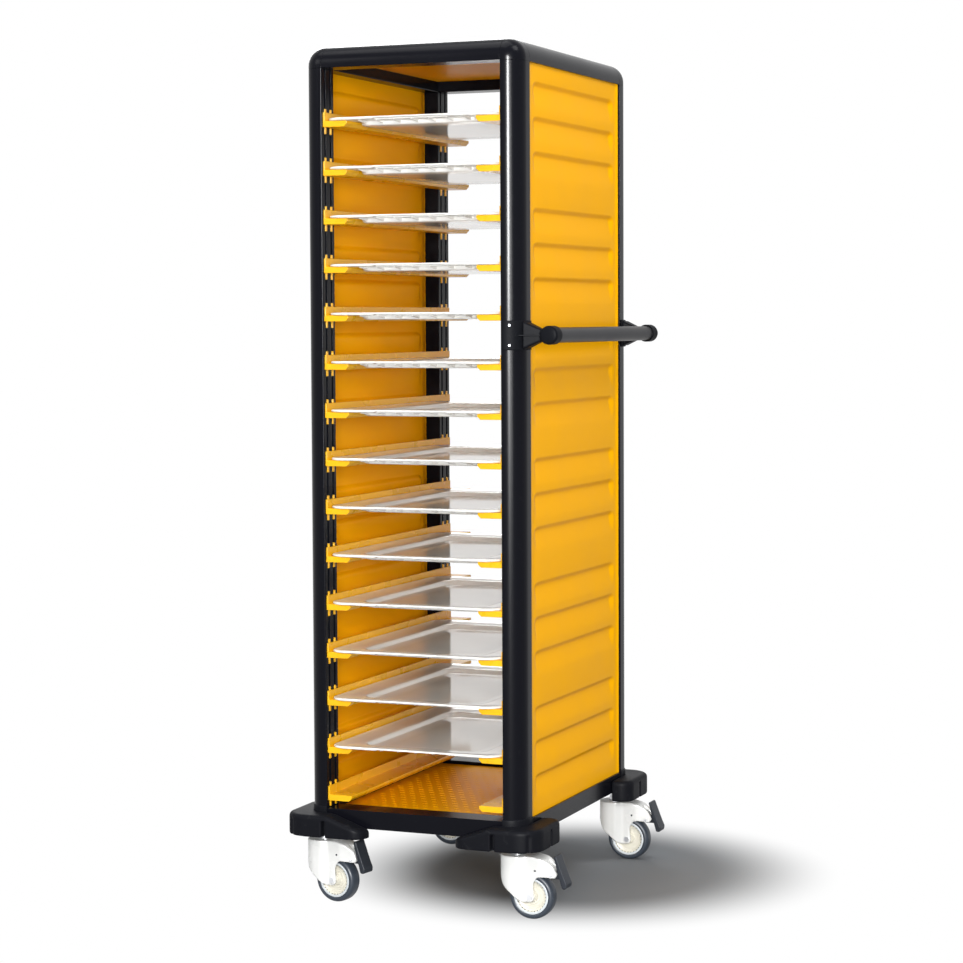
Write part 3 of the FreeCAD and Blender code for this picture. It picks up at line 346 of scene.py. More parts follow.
def skin(bm, loops):
    """Joins loops of the same length into a skin, and closes its two ends."""
    rings = [[bm.verts.new(point) for point in loop] for loop in loops]
    for first, second in zip(rings, rings[1:]):
        for i in range(len(first)):
            j = (i + 1) % len(first)
            bm.faces.new((first[i], first[j], second[j], second[i]))
    bm.faces.new(rings[0][::-1])
    bm.faces.new(rings[-1])


def prism(name, corners, half_width):
    """A flat plate: corners in the plane of Y and Z, in millimetres, thick along X."""
    bm = bmesh.new()
    sides = [[bm.verts.new(Vector((sign * half_width, y, z)) * MM) for y, z in corners]
             for sign in (1, -1)]
    bm.faces.new(sides[0])
    bm.faces.new(sides[1][::-1])
    for i in range(len(corners)):
        j = (i + 1) % len(corners)
        bm.faces.new((sides[0][j], sides[0][i], sides[1][i], sides[1][j]))
    bmesh.ops.recalc_face_normals(bm, faces=bm.faces)
    return mesh_from(bm, name)


def raised_mark(name, length, width, height):
    """A low moulded mark, drawn in towards its top, in millimetres."""
    loops = []
    for z, share in ((0, 1), (height * 0.7, 0.9), (height, 0.7)):
        half_x = (length - width * (1 - share)) / 2
        half_y = width * share / 2
        loops.append([Vector((x * half_x, y * half_y, z)) * MM
                      for x, y in ((1, 1), (-1, 1), (-1, -1), (1, -1))])
    bm = bmesh.new()
    skin(bm, loops)
    return mesh_from(bm, name)


def turned_head(name, profile, sides=12):
    """A small head turned round Z: radius and height of each loop, in millimetres."""
    turns = [math.tau * i / sides for i in range(sides)]
    bm = bmesh.new()
    skin(bm, [[Vector((radius * math.cos(turn), radius * math.sin(turn), height)) * MM
               for turn in turns] for radius, height in profile])
    return smooth(mesh_from(bm, name), 40)


def heads_on(places, head, tree):
    """Heads set on places, each a point and the way it faces, as one mesh."""
    spots = bpy.data.meshes.new("spots")
    spots.from_pydata([tuple(point) for point, facing in places], [], [])
    ways = spots.attributes.new("facing", "FLOAT_VECTOR", "POINT")
    ways.data.foreach_set("vector", [c for point, facing in places for c in facing])
    pattern = bpy.data.objects.new("pattern", head)
    bpy.context.scene.collection.objects.link(pattern)
    mesh = shaped(spots, ("NODES", {"node_group": tree, "Head": pattern}))
    bpy.data.objects.remove(pattern)
    return mesh


def refinish(node):
    for slot in nodes[node].material_slots:
        slot.material = finishes[slot_of(node)]


# Side panels -----------------------------------------------------------------------------------

def hollow_tree():
    """Presses groups of hollows into a panel: a soft step above and at both ends, round
    upper corners, and a slow fade back to the panel's face below."""
    labels = ("Top", "Half length", "Side", "Rise", "Pitch", "Group pitch", "Per group",
              "Groups", "Height", "Step", "Crest", "End slope", "Corner")
    tree, given = new_tree("hollows", {label: "Float" for label in labels})
    place = add_node(tree, "ShaderNodeSeparateXYZ", {
        0: tree.nodes.new("GeometryNodeInputPosition").outputs[0]}).outputs
    below = maths(tree, "SUBTRACT", given["Top"], place["Z"])
    group = maths(tree, "FLOOR", maths(tree, "DIVIDE", below, given["Group pitch"]))
    inside = maths(tree, "SUBTRACT", below, maths(tree, "MULTIPLY", group, given["Group pitch"]))
    number = maths(tree, "FLOOR", maths(tree, "DIVIDE", inside, given["Pitch"]))
    down = maths(tree, "SUBTRACT", inside, maths(tree, "MULTIPLY", number, given["Pitch"]))
    in_group = maths(tree, "LESS_THAN", number,
                     maths(tree, "SUBTRACT", given["Per group"], 0.5))
    in_rows = maths(tree, "LESS_THAN", group, maths(tree, "SUBTRACT", given["Groups"], 0.5))
    real = maths(tree, "MULTIPLY", maths(tree, "MULTIPLY", in_group, in_rows),
                 maths(tree, "GREATER_THAN", below, 0.0))
    end = maths(tree, "SUBTRACT", given["Half length"], maths(tree, "ABSOLUTE", place["Y"]))
    over = maths(tree, "MAXIMUM", maths(tree, "SUBTRACT", given["Corner"], down), 0.0)
    eased_end = maths(tree, "MULTIPLY", end,
                      maths(tree, "DIVIDE", given["Step"], given["End slope"]))
    past = maths(tree, "MAXIMUM", maths(tree, "SUBTRACT", given["Corner"], eased_end), 0.0)
    reach = maths(tree, "SQRT", maths(tree, "ADD", maths(tree, "MULTIPLY", over, over),
                                      maths(tree, "MULTIPLY", past, past)))
    within = maths(tree, "SUBTRACT", given["Corner"], reach)
    edge = add_node(tree, "ShaderNodeMapRange", {0: within, 1: 0.0, 2: given["Step"]},
                    interpolation_type="SMOOTHSTEP").outputs[0]
    fade = add_node(tree, "ShaderNodeMapRange", {
        0: down, 1: given["Crest"], 2: given["Height"], 3: 1.0, 4: 0.0},
        interpolation_type="SMOOTHSTEP").outputs[0]
    lift = maths(tree, "MULTIPLY", maths(tree, "MULTIPLY", edge, fade),
                 maths(tree, "MULTIPLY", real, given["Rise"]))
    shift = add_node(tree, "ShaderNodeCombineXYZ",
                     {0: maths(tree, "MULTIPLY", lift, given["Side"])}).outputs[0]
    moved = add_node(tree, "GeometryNodeSetPosition",
                     {"Geometry": given["Geometry"], "Offset": shift}).outputs[0]
    return close_tree(tree, moved, "yellow_panel")


HOLLOWS = hollow_tree()
# The sizes of a hollow and of its groups. A rise below nought goes into the panel
HOLLOW = {"Rise": -6.5 * MM, "Pitch": 74 * MM, "Group pitch": 268 * MM, "Per group": 3.0,
          "Groups": 6.0, "Height": 62 * MM, "Step": 12 * MM, "Crest": 13 * MM,
          "End slope": 26 * MM, "Corner": 15 * MM}
# The rows of faces down a hollow, in millimetres from its crown
HOLLOW_ROWS = (0, 1.2, 2.4, 3.6, 4.8, 6, 7.2, 8.4, 10, 12, 15, 19, 24, 30, 36, 42, 50, 57, 62)
END_COLUMNS = 16
PLAIN_STEP = 45 * MM
TONGUE_STEP = 5 * MM
PANEL_SKIN = 3.5 * MM
PANEL_TONGUE = 7 * MM
TOP_MARGIN = 36 * MM
END_MARGIN = 26 * MM
# The bead along a panel's upright edges: how far in from the posts and how far out, in mm
EDGE_BEAD = ((0, 0), (0.8, 0.9), (1.8, 1.3), (3.0, 0.9), (4.0, 0))


def lattice(name, across, up, x, keep, raised):
    """A sheet of faces by the plane x, on rows and columns at given places."""
    bm = bmesh.new()
    rows = [[bm.verts.new((x + raised.get(abs(y), 0), y, z)) for y in across] for z in up]
    for low, high in zip(rows, rows[1:]):
        for i in range(len(across) - 1):
            corners = (low[i], low[i + 1], high[i + 1], high[i])
            if keep(sum((v.co for v in corners), Vector()) / 4):
                bm.faces.new(corners)
    bmesh.ops.delete(bm, geom=[v for v in bm.verts if not v.link_faces], context="VERTS")
    return mesh_from(bm, name)


def spread(low, high, most):
    """Even steps from low to high, none longer than most."""
    count = max(1, math.ceil((high - low) / most))
    return [low + (high - low) * i / count for i in range(count + 1)]


def make_side_panel(side, sign):
    node = "side_panel_" + side
    low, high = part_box(node)
    face = high.x if sign > 0 else low.x
    top = high.z - PANEL_TONGUE
    half = high.y
    first = top - TOP_MARGIN
    ups = spread(low.z, top, PLAIN_STEP) + spread(top, high.z, TONGUE_STEP)
    for group in range(int(HOLLOW["Groups"])):
        for number in range(int(HOLLOW["Per group"])):
            crown = first - group * HOLLOW["Group pitch"] - number * HOLLOW["Pitch"]
            ups += [crown - row * MM for row in HOLLOW_ROWS]
    ends = half - PANEL_TONGUE - END_MARGIN
    bead = {round(half - PANEL_TONGUE - inset * MM, 6): sign * out * MM
            for inset, out in EDGE_BEAD}
    across = [half] + list(bead)
    end_length = HOLLOW["Corner"] * HOLLOW["End slope"] / HOLLOW["Step"]
    across += [ends - end_length * i / END_COLUMNS for i in range(END_COLUMNS + 1)]
    across += spread(0, ends - end_length, PLAIN_STEP)
    across = sorted({round(sign * y, 6) for y in across for sign in (1, -1)})
    ups = sorted({round(z, 6) for z in ups if low.z <= z <= high.z + 1e-9})

    def in_slots(place):
        return place.z < top or abs(place.y) < half - PANEL_TONGUE
    sheet = lattice(node + "_sheet", across, ups, face, in_slots, bead)
    thickness = ("SOLIDIFY", {"thickness": PANEL_SKIN, "offset": -1 if sign > 0 else 1})
    sizes = dict(HOLLOW, **{"node_group": HOLLOWS, "Top": first, "Half length": ends,
                            "Side": float(sign)})
    mesh = shaped(sheet, ("NODES", sizes), thickness)
    bm = bmesh.new()
    bm.from_mesh(mesh)
    bmesh.ops.recalc_face_normals(bm, faces=bm.faces)
    bm.to_mesh(mesh)
    bm.free()
    fit(node + "_pressed", smooth(mesh, 50), "cabinet", "yellow_panel", [node])


make_side_panel("left", -1)
make_side_panel("right", 1)


# Trays -----------------------------------------------------------------------------------------

# Half width, half length, corner radius and height of each loop of a tray, in millimetres,
# from the middle of its underside round the rim to the middle of its floor
TRAY_LOOPS = [
    (60, 160, 20, -9.5), (138, 238, 27, -9.5), (142, 242, 29, -8.6), (144.2, 244.2, 30, -6.6),
    (145, 245, 30.5, -4), (145.2, 245.2, 30.6, -0.8), (146.4, 246.4, 31, 0),
    (185, 285, 33, 0), (186.5, 286.5, 33.4, 0), (195, 295, 36, 0), (198, 298, 37, 0.5),
    (199.6, 299.6, 37.8, 1.6), (200, 300, 38, 3), (199.6, 299.6, 37.8, 4.6),
    (198.6, 298.6, 37, 5.7), (197, 297, 35.6, 6), (195, 295, 33.8, 5.8), (193, 293, 32.4, 5.2),
    (160, 260, 31, 3.6), (150, 250, 31, 3.1), (145.5, 245.5, 31, 2.7), (143, 243, 30.5, 1.4),
    (140, 240, 30.2, -3.8), (138.8, 238.8, 30, -5.6), (136.6, 236.6, 29, -6.5),
    (100, 200, 24, -6.5), (40, 140, 16, -6.5)]
TRAY_RIM_HEIGHT = 6
CORNER_STEPS = 9
# The hand grips: the rim's underside is raised by the middle of both short sides
GRIP_HALF = 81.5
GRIP_RUN = 6
GRIP_START = 286
GRIP_RISE = 2.5
GRIP_TOP = 3.2
# The ribs under the rim: corners as length from the middle and height, in millimetres
TRAY_RIB = ((-246, 0.3), (-246, -6.5), (-262, -4.6), (-284, -2.2), (-284, 0.3))
RIB_HALF_WIDTH = 0.9
RIB_COUNT = 7
RIB_PITCH = 41


def rounded_loop(half_x, half_y, radius, z):
    """Points of a rectangle with round corners, the same number for every size."""
    points = []
    for turn, (sx, sy) in enumerate(((1, 1), (-1, 1), (-1, -1), (1, -1))):
        centre = Vector((sx * (half_x - radius), sy * (half_y - radius), z))
        for step in range(CORNER_STEPS + 1):
            angle = math.radians(90) * (turn + step / CORNER_STEPS)
            points.append(centre + radius * Vector((math.cos(angle), math.sin(angle), 0)))
        if turn in (0, 2):
            straight = half_x - radius
            for place in (GRIP_HALF + GRIP_RUN, GRIP_HALF, 0, -GRIP_HALF,
                          -GRIP_HALF - GRIP_RUN):
                if abs(place) >= straight:
                    place = math.copysign(straight, place) * 0.98
                points.append(Vector((sx * place, sy * half_y, z)))
    return points


def tray_mesh():
    loops = []
    for half_x, half_y, radius, height in TRAY_LOOPS:
        loop = rounded_loop(half_x, half_y, radius, height)
        for point in loop:
            in_grip = abs(point.y) > GRIP_START and abs(point.x) <= GRIP_HALF + 0.1
            if in_grip and point.z < GRIP_TOP:
                point.z = min(GRIP_TOP, point.z + GRIP_RISE)
        loops.append([point * MM for point in loop])
    bm = bmesh.new()
    skin(bm, loops)
    bmesh.ops.recalc_face_normals(bm, faces=bm.faces)
    shell = mesh_from(bm, "tray_shell")
    rib = prism("tray_rib", TRAY_RIB, RIB_HALF_WIDTH)
    rib.transform(Matrix.Translation((-RIB_PITCH * (RIB_COUNT - 1) / 2 * MM, 0, 0)))
    front = shaped(rib, ("NODES", {"node_group": row_tree("tray_ribs", "white_tray"),
                                   "Count": RIB_COUNT, "Step": (RIB_PITCH * MM, 0, 0)}))
    rear = front.copy()
    rear.transform(Matrix.Rotation(math.pi, 4, "Z"))
    return smooth(joined(shell, front, rear), 40)


TRAY_COUNT = 14
tray = tray_mesh()
for level in range(1, TRAY_COUNT + 1):
    node = "tray_%02d" % level
    low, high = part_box(node)
    middle = (low + high) / 2
    mesh = tray.copy()
    mesh.transform(Matrix.Translation((middle.x, middle.y, high.z - TRAY_RIM_HEIGHT * MM)))
    fit(node + "_moulded", mesh, body_of(node), "white_tray", [node])


# Rails -----------------------------------------------------------------------------------------

RAIL_PITCH = 105 * MM
RAIL_COUNT = 15
RAIL_EDGE = 0.9 * MM
# The share of a pitch below the top of the ladder that holds its first rail alone
FIRST_RAIL = 0.6
ladder = row_tree("rail_ladder", "yellow_rail")
for side in ("left", "right"):
    node = "tray_rails_" + side
    floor_of_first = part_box(node)[1].z - RAIL_PITCH * FIRST_RAIL
    rail = eased(merged_copy(node, lambda place: place.z > floor_of_first), RAIL_EDGE)
    rails = shaped(rail, ("NODES", {"node_group": ladder, "Count": RAIL_COUNT,
                                    "Step": (0, 0, -RAIL_PITCH)}))
    fit(node + "_moulded", rails, "cabinet", "yellow_rail", [node])


# Frame, bumpers, handle and casters ------------------------------------------------------------

FRAME_PIECES = ("corner_post", "top_corners", "top_bar", "bottom_bars")
FRAME_EDGE = 0.5 * MM
# These keep the CAD's own mesh and take a finish
KEPT_PIECES = ("top_panel", "base_panel", "caster_mounts", "caster_pins", "handle_tube")
# Moulded pieces: voxel size in millimetres, rounds of smoothing and finish
MOULDINGS = {"corner_bumper": (2, 12, "bumper_black"),
             "caster_shell": (1.5, 6, "caster_white"),
             "brake_pedal": (1.2, 5, "pedal_grey"),
             "handle_bracket": (1.2, 3, "bracket_black")}
for node in nodes:
    if node.startswith(FRAME_PIECES):
        fit(node + "_eased", eased(merged_copy(node), FRAME_EDGE), "cabinet", "frame_black",
            [node])
    elif node.startswith(KEPT_PIECES):
        refinish(node)
    elif node.startswith(tuple(MOULDINGS)):
        voxel, rounds, finish = next(MOULDINGS[start] for start in MOULDINGS
                                     if node.startswith(start))
        fit(node + "_moulded", moulded(node, voxel * MM, rounds), body_of(node), finish,
            [node])

cabinet_x = (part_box("top_panel")[0].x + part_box("top_panel")[1].x) / 2


def band(name, path, section):
    """A strip that follows a path of points and outward directions; section is (out, up)."""
    bm = bmesh.new()
    skin(bm, [[(point + outward * out * MM).to_3d() + Vector((0, 0, up * MM))
               for out, up in section] for point, outward in path])
    bmesh.ops.recalc_face_normals(bm, faces=bm.faces)
    return smooth(mesh_from(bm, name), 40)


# A collar round each post's foot, on the bumper: out from the post and up from the bumper
COLLAR_SECTION = ((-0.5, -1), (2.0, -1), (2.0, 10.5), (1.5, 12.6), (0.4, 13.6), (-0.5, 13.6))
POST_RADIUS = 40 * MM
ARC_STEPS = 16
for end, y_sign in (("front", -1), ("rear", 1)):
    for side, x_sign in (("left", -1), ("right", 1)):
        low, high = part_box("corner_post_%s_%s" % (end, side))
        outer = Vector((high.x if x_sign > 0 else low.x, high.y if y_sign > 0 else low.y))
        inner = Vector((low.x if x_sign > 0 else high.x, low.y if y_sign > 0 else high.y))
        centre = outer - Vector((x_sign, y_sign)) * POST_RADIUS
        path = [(Vector((inner.x, outer.y)), Vector((0, y_sign)))]
        for step in range(ARC_STEPS + 1):
            angle = math.radians(90) * step / ARC_STEPS
            outward = Vector((x_sign * math.sin(angle), y_sign * math.cos(angle)))
            path.append((centre + outward * POST_RADIUS, outward))
        path.append((Vector((outer.x, inner.y)), Vector((x_sign, 0))))
        collar = band("collar", path, COLLAR_SECTION)
        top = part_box("corner_bumper_%s_%s" % (end, side))[1].z
        collar.transform(Matrix.Translation((0, 0, top)))
        fit("post_collar_%s_%s" % (end, side), collar, "cabinet", "bumper_black")

# Raised dashes on the base panel, against slipping
DASH_SIZE = (12, 2.8, 0.6)
DASH_PITCH = 25
DASH_COLUMNS = 15
DASH_ROWS = 22
DASH_SUNK = 0.1 * MM
low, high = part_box("base_panel")
dash = raised_mark("dash", *DASH_SIZE)
dashes = shaped(dash, ("NODES", {"node_group": field_tree("anti_slip_dashes", "yellow_panel"),
                                 "Columns": DASH_COLUMNS, "Rows": DASH_ROWS,
                                 "Pitch": DASH_PITCH * MM}))
dashes.transform(Matrix.Translation(((low.x + high.x) / 2 - DASH_PITCH * MM / 4,
                                     (low.y + high.y) / 2, high.z - DASH_SUNK)))
fit("base_panel_dashes", dashes, "cabinet", "yellow_panel")


# Handle details --------------------------------------------------------------------------------

# Each loop of a head: radius and height, in millimetres, from under its edge to its recess
SCREW_HEAD = ((3.7, -0.8), (3.7, 0.9), (3.2, 1.6), (2.2, 2.0), (1.7, 2.0), (1.5, 0.8))
BOLT_HEAD = ((4.8, -0.8), (4.8, 0.6), (4.2, 1.2), (2.9, 1.4), (2.5, 1.3), (2.2, -0.2))
RIVET_HEAD = ((2.4, -0.8), (2.4, 0.3), (2.0, 0.8), (1.2, 1.1), (0.5, 1.2))
BOSS_CAP = ((19.4, -1.5), (19.4, 0.3), (18.7, 1.7), (16.8, 2.9), (12, 3.8), (6, 4.2), (2, 4.3))
PLATE_RADIUS = 44 * MM
SCREW_TURNS = (20.5, 72.5)
BOLT_TURN = 41.5
SCREW_RISE = 21.2 * MM
# The rib on a bracket's arm: corners as place across and along the cart, in millimetres
ARM_RIB = ((249, 352), (291, 336.5), (297, 334), (297, 322), (252, 322))
ARM_RIB_HALF = 1.3
ARM_RIB_EDGE = 0.4 * MM
CAP_REACH = 3 * MM

screw_tree = heads_tree("plate_screws", "screw_steel")
bolt_tree = heads_tree("plate_bolts", "bracket_black")
handle_low, handle_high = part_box("handle_tube")
handle = (handle_low + handle_high) / 2
for end, y_sign in (("front", -1), ("rear", 1)):
    low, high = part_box("corner_post_%s_right" % end)
    centre = Vector((high.x - POST_RADIUS,
                     (high.y if y_sign > 0 else low.y) - y_sign * POST_RADIUS, handle.z))

    def on_plate(turn, rise):
        angle = math.radians(turn)
        facing = Vector((math.sin(angle), y_sign * math.cos(angle), 0))
        return centre + facing * PLATE_RADIUS + Vector((0, 0, rise)), facing
    corners = [on_plate(turn, rise) for turn in SCREW_TURNS
               for rise in (SCREW_RISE, -SCREW_RISE)]
    screws = heads_on(corners, turned_head("screw", SCREW_HEAD), screw_tree)
    fit("bracket_screws_" + end, screws, "cabinet", "screw_steel")
    bolt = heads_on([on_plate(BOLT_TURN, 0)], turned_head("bolt", BOLT_HEAD, 16), bolt_tree)
    rib = prism("arm_rib", [(x, y_sign * y) for x, y in ARM_RIB], ARM_RIB_HALF)
    rib.transform(Matrix.Translation((cabinet_x, 0, handle.z))
                  @ Matrix(((0, 1, 0, 0), (0, 0, 1, 0), (1, 0, 0, 0), (0, 0, 0, 1))))
    cap = turned_head("boss_cap", BOSS_CAP, 48)
    tube_end = handle_high.y if y_sign > 0 else handle_low.y
    boss_end = Vector((handle.x, tube_end + y_sign * CAP_REACH, handle.z))
    cap.transform(Matrix.Translation(boss_end)
                  @ Matrix.Rotation(math.radians(-90 * y_sign), 4, "X"))
    fittings = smooth(joined(bolt, eased(rib, ARM_RIB_EDGE), cap), 50)
    fit("bracket_fittings_" + end, fittings, "cabinet", "bracket_black")


# Caster details --------------------------------------------------------------------------------

# A shell's rivets: ahead of the axle, above it, and out from the middle of the wheel
RIVET_AHEAD = 13 * MM
RIVET_UP = 58 * MM
SHELL_HALF = 25 * MM
# Radius and height of each loop of the rings round a kingpin, in millimetres
SWIVEL_RINGS = ((15.4, 0.4), (15.4, 2.0), (14.8, 2.6), (13.2, 2.8), (12.8, 6.4), (13.7, 7.0),
                (13.7, 9.4), (13.1, 10), (12.2, 10.2), (12.2, 14))
joints = {joint["name"]: joint for joint in frame["joints"]}
rivet_tree = heads_tree("shell_rivets", "pedal_grey")
for end in ("front", "rear"):
    for side in ("left", "right"):
        corner = end + "_" + side
        swivel = Vector(joints["swivel_%s_turn" % corner]["pos_m"])
        hub = Vector(joints["wheel_%s_spin" % corner]["pos_m"])
        across = Vector(joints["wheel_%s_spin" % corner]["axis"]).normalized()
        ahead = Vector((hub.x - swivel.x, hub.y - swivel.y, 0)).normalized()
        spot = hub + ahead * RIVET_AHEAD + Vector((0, 0, RIVET_UP))
        rivets = heads_on([(spot + across * SHELL_HALF, across),
                           (spot - across * SHELL_HALF, -across)],
                          turned_head("rivet", RIVET_HEAD, 14), rivet_tree)
        fit("shell_rivets_" + corner, rivets, "swivel_" + corner, "pedal_grey")
        rings = turned_head("swivel_rings", SWIVEL_RINGS, 40)
        rings.transform(Matrix.Translation(swivel))
        fit("swivel_rings_" + corner, rings, "cabinet", "zinc")


# Wheels ----------------------------------------------------------------------------------------

# Profiles across the axle: place along it and distance from it, in millimetres
TYRE_PROFILE = [
    (-15, 39), (-15.6, 40), (-16, 42), (-15.6, 44.6), (-14.2, 47), (-12, 48.8), (-9, 49.7),
    (-4, 50), (4, 50), (9, 49.7), (12, 48.8), (14.2, 47), (15.6, 44.6), (16, 42), (15.6, 40),
    (15, 39)]
CORE_HALF = [
    (15, 4.1), (15, 8), (14.6, 8.6), (13.4, 8.8), (13.4, 10), (14.4, 10.4), (14.6, 11.4),
    (14, 12), (8, 12.8), (6.4, 14), (6.2, 18), (6.9, 18.6), (6.9, 20), (6.2, 20.6), (6.2, 25),
    (6.9, 25.6), (6.9, 27.2), (7.4, 28.4), (9, 29.2), (9.6, 30), (9.6, 31.4), (10.4, 32.4),
    (13.2, 33), (13.8, 33.6), (13.8, 38.6), (14.4, 39)]
RING_PROFILE = [(13.6, 33.9), (14.8, 34.1), (15.2, 34.7), (15.2, 38.1), (14.9, 38.8),
                (13.6, 38.9)]
# The ticks inside each ring: length, width and height, then where they stand
TICK_SIZE = (1.8, 1.5, 1.3)
TICK_COUNT = 28
TICK_RADIUS = 33.1
TICK_BASE = 13.2
TURNS = 72


def lathe(profile, centre, axle):
    """A closed profile turned round an axle."""
    bm = bmesh.new()
    aside = axle.cross(Vector((0, 0, 1))).normalized()
    upward = aside.cross(axle).normalized()
    loops = []
    for turn in range(TURNS):
        angle = math.tau * turn / TURNS
        spoke = math.cos(angle) * aside + math.sin(angle) * upward
        loops.append([centre + (axle * along + spoke * out) * MM for along, out in profile])
    rings = [[bm.verts.new(point) for point in loop] for loop in loops]
    count = len(profile)
    for turn in range(TURNS):
        first, second = rings[turn], rings[(turn + 1) % TURNS]
        for i in range(count):
            j = (i + 1) % count
            bm.faces.new((first[i], first[j], second[j], second[i]))
    bmesh.ops.recalc_face_normals(bm, faces=bm.faces)
    return smooth(mesh_from(bm, "turned"), 40)


core_profile = CORE_HALF + [(-along, out) for along, out in CORE_HALF[::-1]]
tick = raised_mark("tick", *TICK_SIZE)
tick.transform(Matrix.Translation(Vector((TICK_RADIUS, 0, TICK_BASE)) * MM))
ticks = shaped(tick, ("NODES", {"node_group": ring_tree("ring_ticks", "tyre_grey"),
                                "Count": TICK_COUNT}))
for name, joint in joints.items():
    if name.startswith("wheel_"):
        corner = name[len("wheel_"):-len("_spin")]
        centre = Vector(joint["pos_m"])
        axle = Vector(joint["axis"]).normalized()
        tyre_parts = [lathe(TYRE_PROFILE, centre, axle)]
        rings = []
        for way in (axle, -axle):
            marks = ticks.copy()
            marks.transform(Matrix.Translation(centre)
                            @ way.to_track_quat("Z", "Y").to_matrix().to_4x4())
            tyre_parts.append(marks)
            rings.append(lathe(RING_PROFILE, centre, way))
        fit("tyre_%s_turned" % corner, joined(*tyre_parts), joint["child"], "tyre_grey",
            ["tyre_" + corner])
        fit("wheel_core_%s_turned" % corner, lathe(core_profile, centre, axle),
            joint["child"], "wheel_cream", ["wheel_core_" + corner])
        fit("wheel_rings_" + corner, joined(*rings), joint["child"], "wheel_ring")


# Studio ----------------------------------------------------------------------------------------

def background_rays(tree):
    """One for rays that see the background itself or mirror it, else nought."""
    path = tree.nodes.new("ShaderNodeLightPath").outputs
    seen = maths(tree, "MAXIMUM", path["Is Camera Ray"], path["Is Glossy Ray"])
    return maths(tree, "MAXIMUM", seen, path["Is Transmission Ray"])


# The white surround's strength on the cart, and where it is seen or mirrored
SURROUND_LIGHT = 0.38
SURROUND_SEEN = 1.0
world = bpy.data.worlds.new("studio")
bpy.context.scene.world = world
world.use_nodes = True
sky = world.node_tree
glow = add_node(sky, "ShaderNodeMapRange", {
    0: background_rays(sky), 3: SURROUND_LIGHT, 4: SURROUND_SEEN})
sky.links.new(glow.outputs[0], sky.nodes["Background"].inputs["Strength"])
sky.nodes["Background"].inputs["Color"].default_value = (1, 1, 1, 1)

# A floor that takes the cart's shadow near the cart, darkened there by a painted shadow of dark
# grey, and fades into the white surround further out
floor_mesh = bpy.data.meshes.new("floor")
FLOOR_HALF = 30.0
# The floor's dark grey near the cart: a painted shadow under and behind the cart, on top of the
# shadow the lamps cast
PAINTED_SHADOW_GREY = (0.20, 0.21, 0.22, 1)
GROUND_ROUGHNESS = 0.9
# Where the painted shadow is centred, and how far out it starts and ends fading into white
SHADOW_CENTRE = (0.16, 0.16, 0)
SHADOW_START = 0.3
SHADOW_END = 0.62
floor_mesh.from_pydata([(-FLOOR_HALF, -FLOOR_HALF, 0), (FLOOR_HALF, -FLOOR_HALF, 0),
                        (FLOOR_HALF, FLOOR_HALF, 0), (-FLOOR_HALF, FLOOR_HALF, 0)], [],
                       [(0, 1, 2, 3)])
floor = bpy.data.objects.new("floor", floor_mesh)
bpy.context.scene.collection.objects.link(floor)
ground = bpy.data.materials.new("floor_white_painted_shadow")
ground.use_nodes = True
plain = ground.node_tree
matt = plain.nodes["Principled BSDF"]
matt.inputs["Base Color"].default_value = PAINTED_SHADOW_GREY
matt.inputs["Roughness"].default_value = GROUND_ROUGHNESS
matt.inputs["Specular IOR Level"].default_value = 0.0
white = add_node(plain, "ShaderNodeEmission", {"Color": (1, 1, 1, 1), "Strength": 1.0})
# The painted shadow's mask: dark grey within reach of its centre, white further out
spot = add_node(plain, "ShaderNodeVectorMath", {
    0: add_node(plain, "ShaderNodeTexCoord").outputs["Object"], 1: SHADOW_CENTRE},
    operation="DISTANCE")
far = add_node(plain, "ShaderNodeMapRange", {
    0: spot.outputs["Value"], 1: SHADOW_START, 2: SHADOW_END},
    interpolation_type="SMOOTHSTEP").outputs[0]
blend = add_node(plain, "ShaderNodeMixShader", {
    0: maths(plain, "MULTIPLY", far, background_rays(plain)),
    1: matt.outputs[0], 2: white.outputs[0]})
plain.links.new(blend.outputs[0], plain.nodes["Material Output"].inputs["Surface"])
floor_mesh.materials.append(ground)

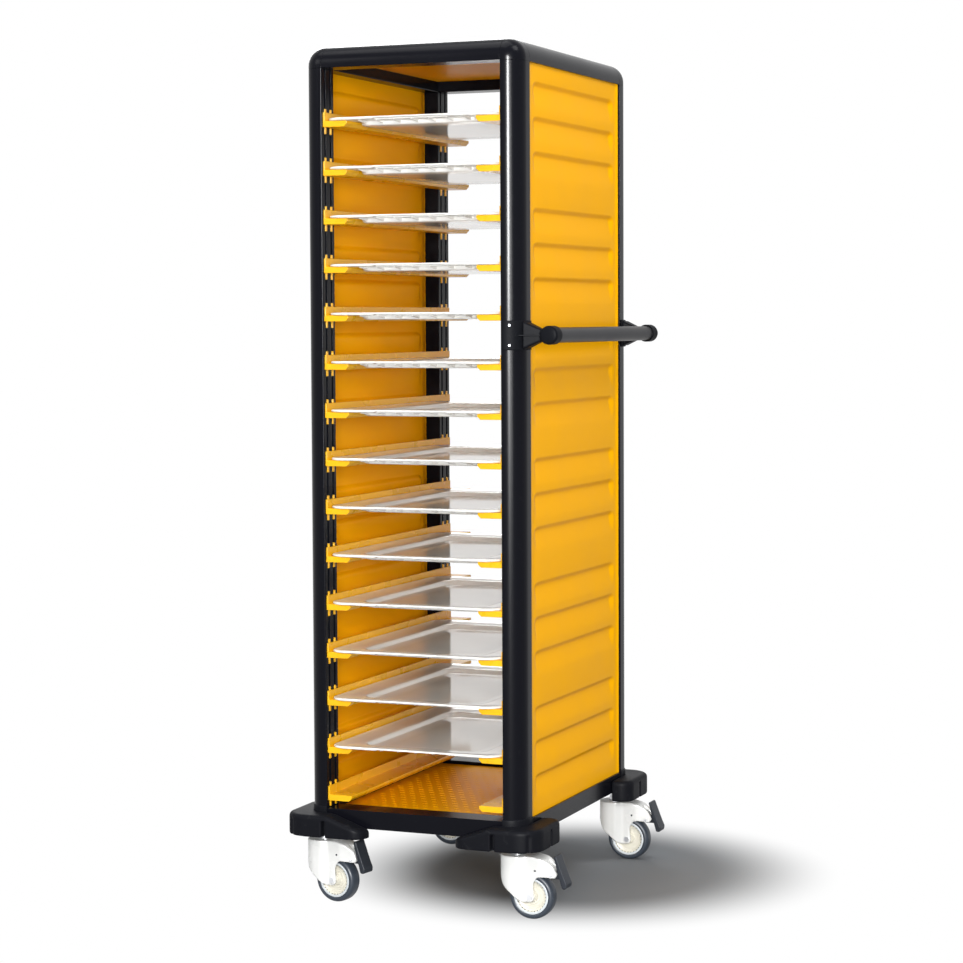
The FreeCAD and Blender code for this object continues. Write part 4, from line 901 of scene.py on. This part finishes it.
# Lamps: name, place, target, width, height, watts, and whether it only shows in gloss
LAMPS = [
    ("softbox_over", (-0.4, -0.6, 4.6), (0, 0, 0.6), 2.4, 2.4, 55, False),
    ("softbox_left", (-3.0, -3.6, 3.6), (0, 0, 1.0), 1.8, 1.8, 60, False),
    ("softbox_front", (2.2, -4.9, 1.5), (-0.1, 0, 1.0), 2.2, 1.8, 305, False),
    ("softbox_right", (2.2, -0.6, 4.3), (0.2, 0, 0.9), 1.4, 1.4, 62, False),
    ("softbox_behind", (-2.4, 4.2, 3.4), (0, 0, 0.9), 2.0, 2.0, 90, False),
    ("strip_high", (1.94, -6.4, 2.05), (0.2, -0.3, 1.7), 0.9, 1.3, 1500, True),
    ("strip_low", (1.94, -6.4, 0.75), (0.2, -0.3, 0.7), 0.9, 1.2, 50, True)]
for name, place, target, width, height, watts, gloss_only in LAMPS:
    lamp = bpy.data.lights.new(name, "AREA")
    lamp.shape = "RECTANGLE"
    lamp.size = width
    lamp.size_y = height
    lamp.energy = watts
    stand = bpy.data.objects.new(name, lamp)
    bpy.context.scene.collection.objects.link(stand)
    stand.location = place
    stand.rotation_euler = (Vector(target) - Vector(place)).to_track_quat("-Z", "Y").to_euler()
    stand.visible_diffuse = not gloss_only

# The camera as fitted to the photo's edges. Its place is from the cabinet's middle
YAW, PITCH, ROLL = 22.31, 3.063, -0.273
CAMERA_ASIDE, CAMERA_AHEAD, CAMERA_UP = 2.15987, -5.22798, 1.27889
FOCAL_LENGTH = 93.038
SENSOR_WIDTH = 36
SHIFT_X, SHIFT_Y = 0.00207, -0.03
lens = bpy.data.cameras.new("camera")
lens.lens = FOCAL_LENGTH
lens.sensor_width = SENSOR_WIDTH
lens.shift_x = SHIFT_X
lens.shift_y = SHIFT_Y
camera = bpy.data.objects.new("camera", lens)
bpy.context.scene.collection.objects.link(camera)
turn = (Matrix.Rotation(math.radians(YAW), 4, "Z")
        @ Matrix.Rotation(math.radians(90 - PITCH), 4, "X")
        @ Matrix.Rotation(math.radians(ROLL), 4, "Z"))
stands_at = Vector((cabinet_x + CAMERA_ASIDE, CAMERA_AHEAD, CAMERA_UP))
camera.matrix_world = Matrix.Translation(stands_at) @ turn
bpy.context.scene.camera = camera
bpy.context.scene.view_settings.view_transform = "Standard"
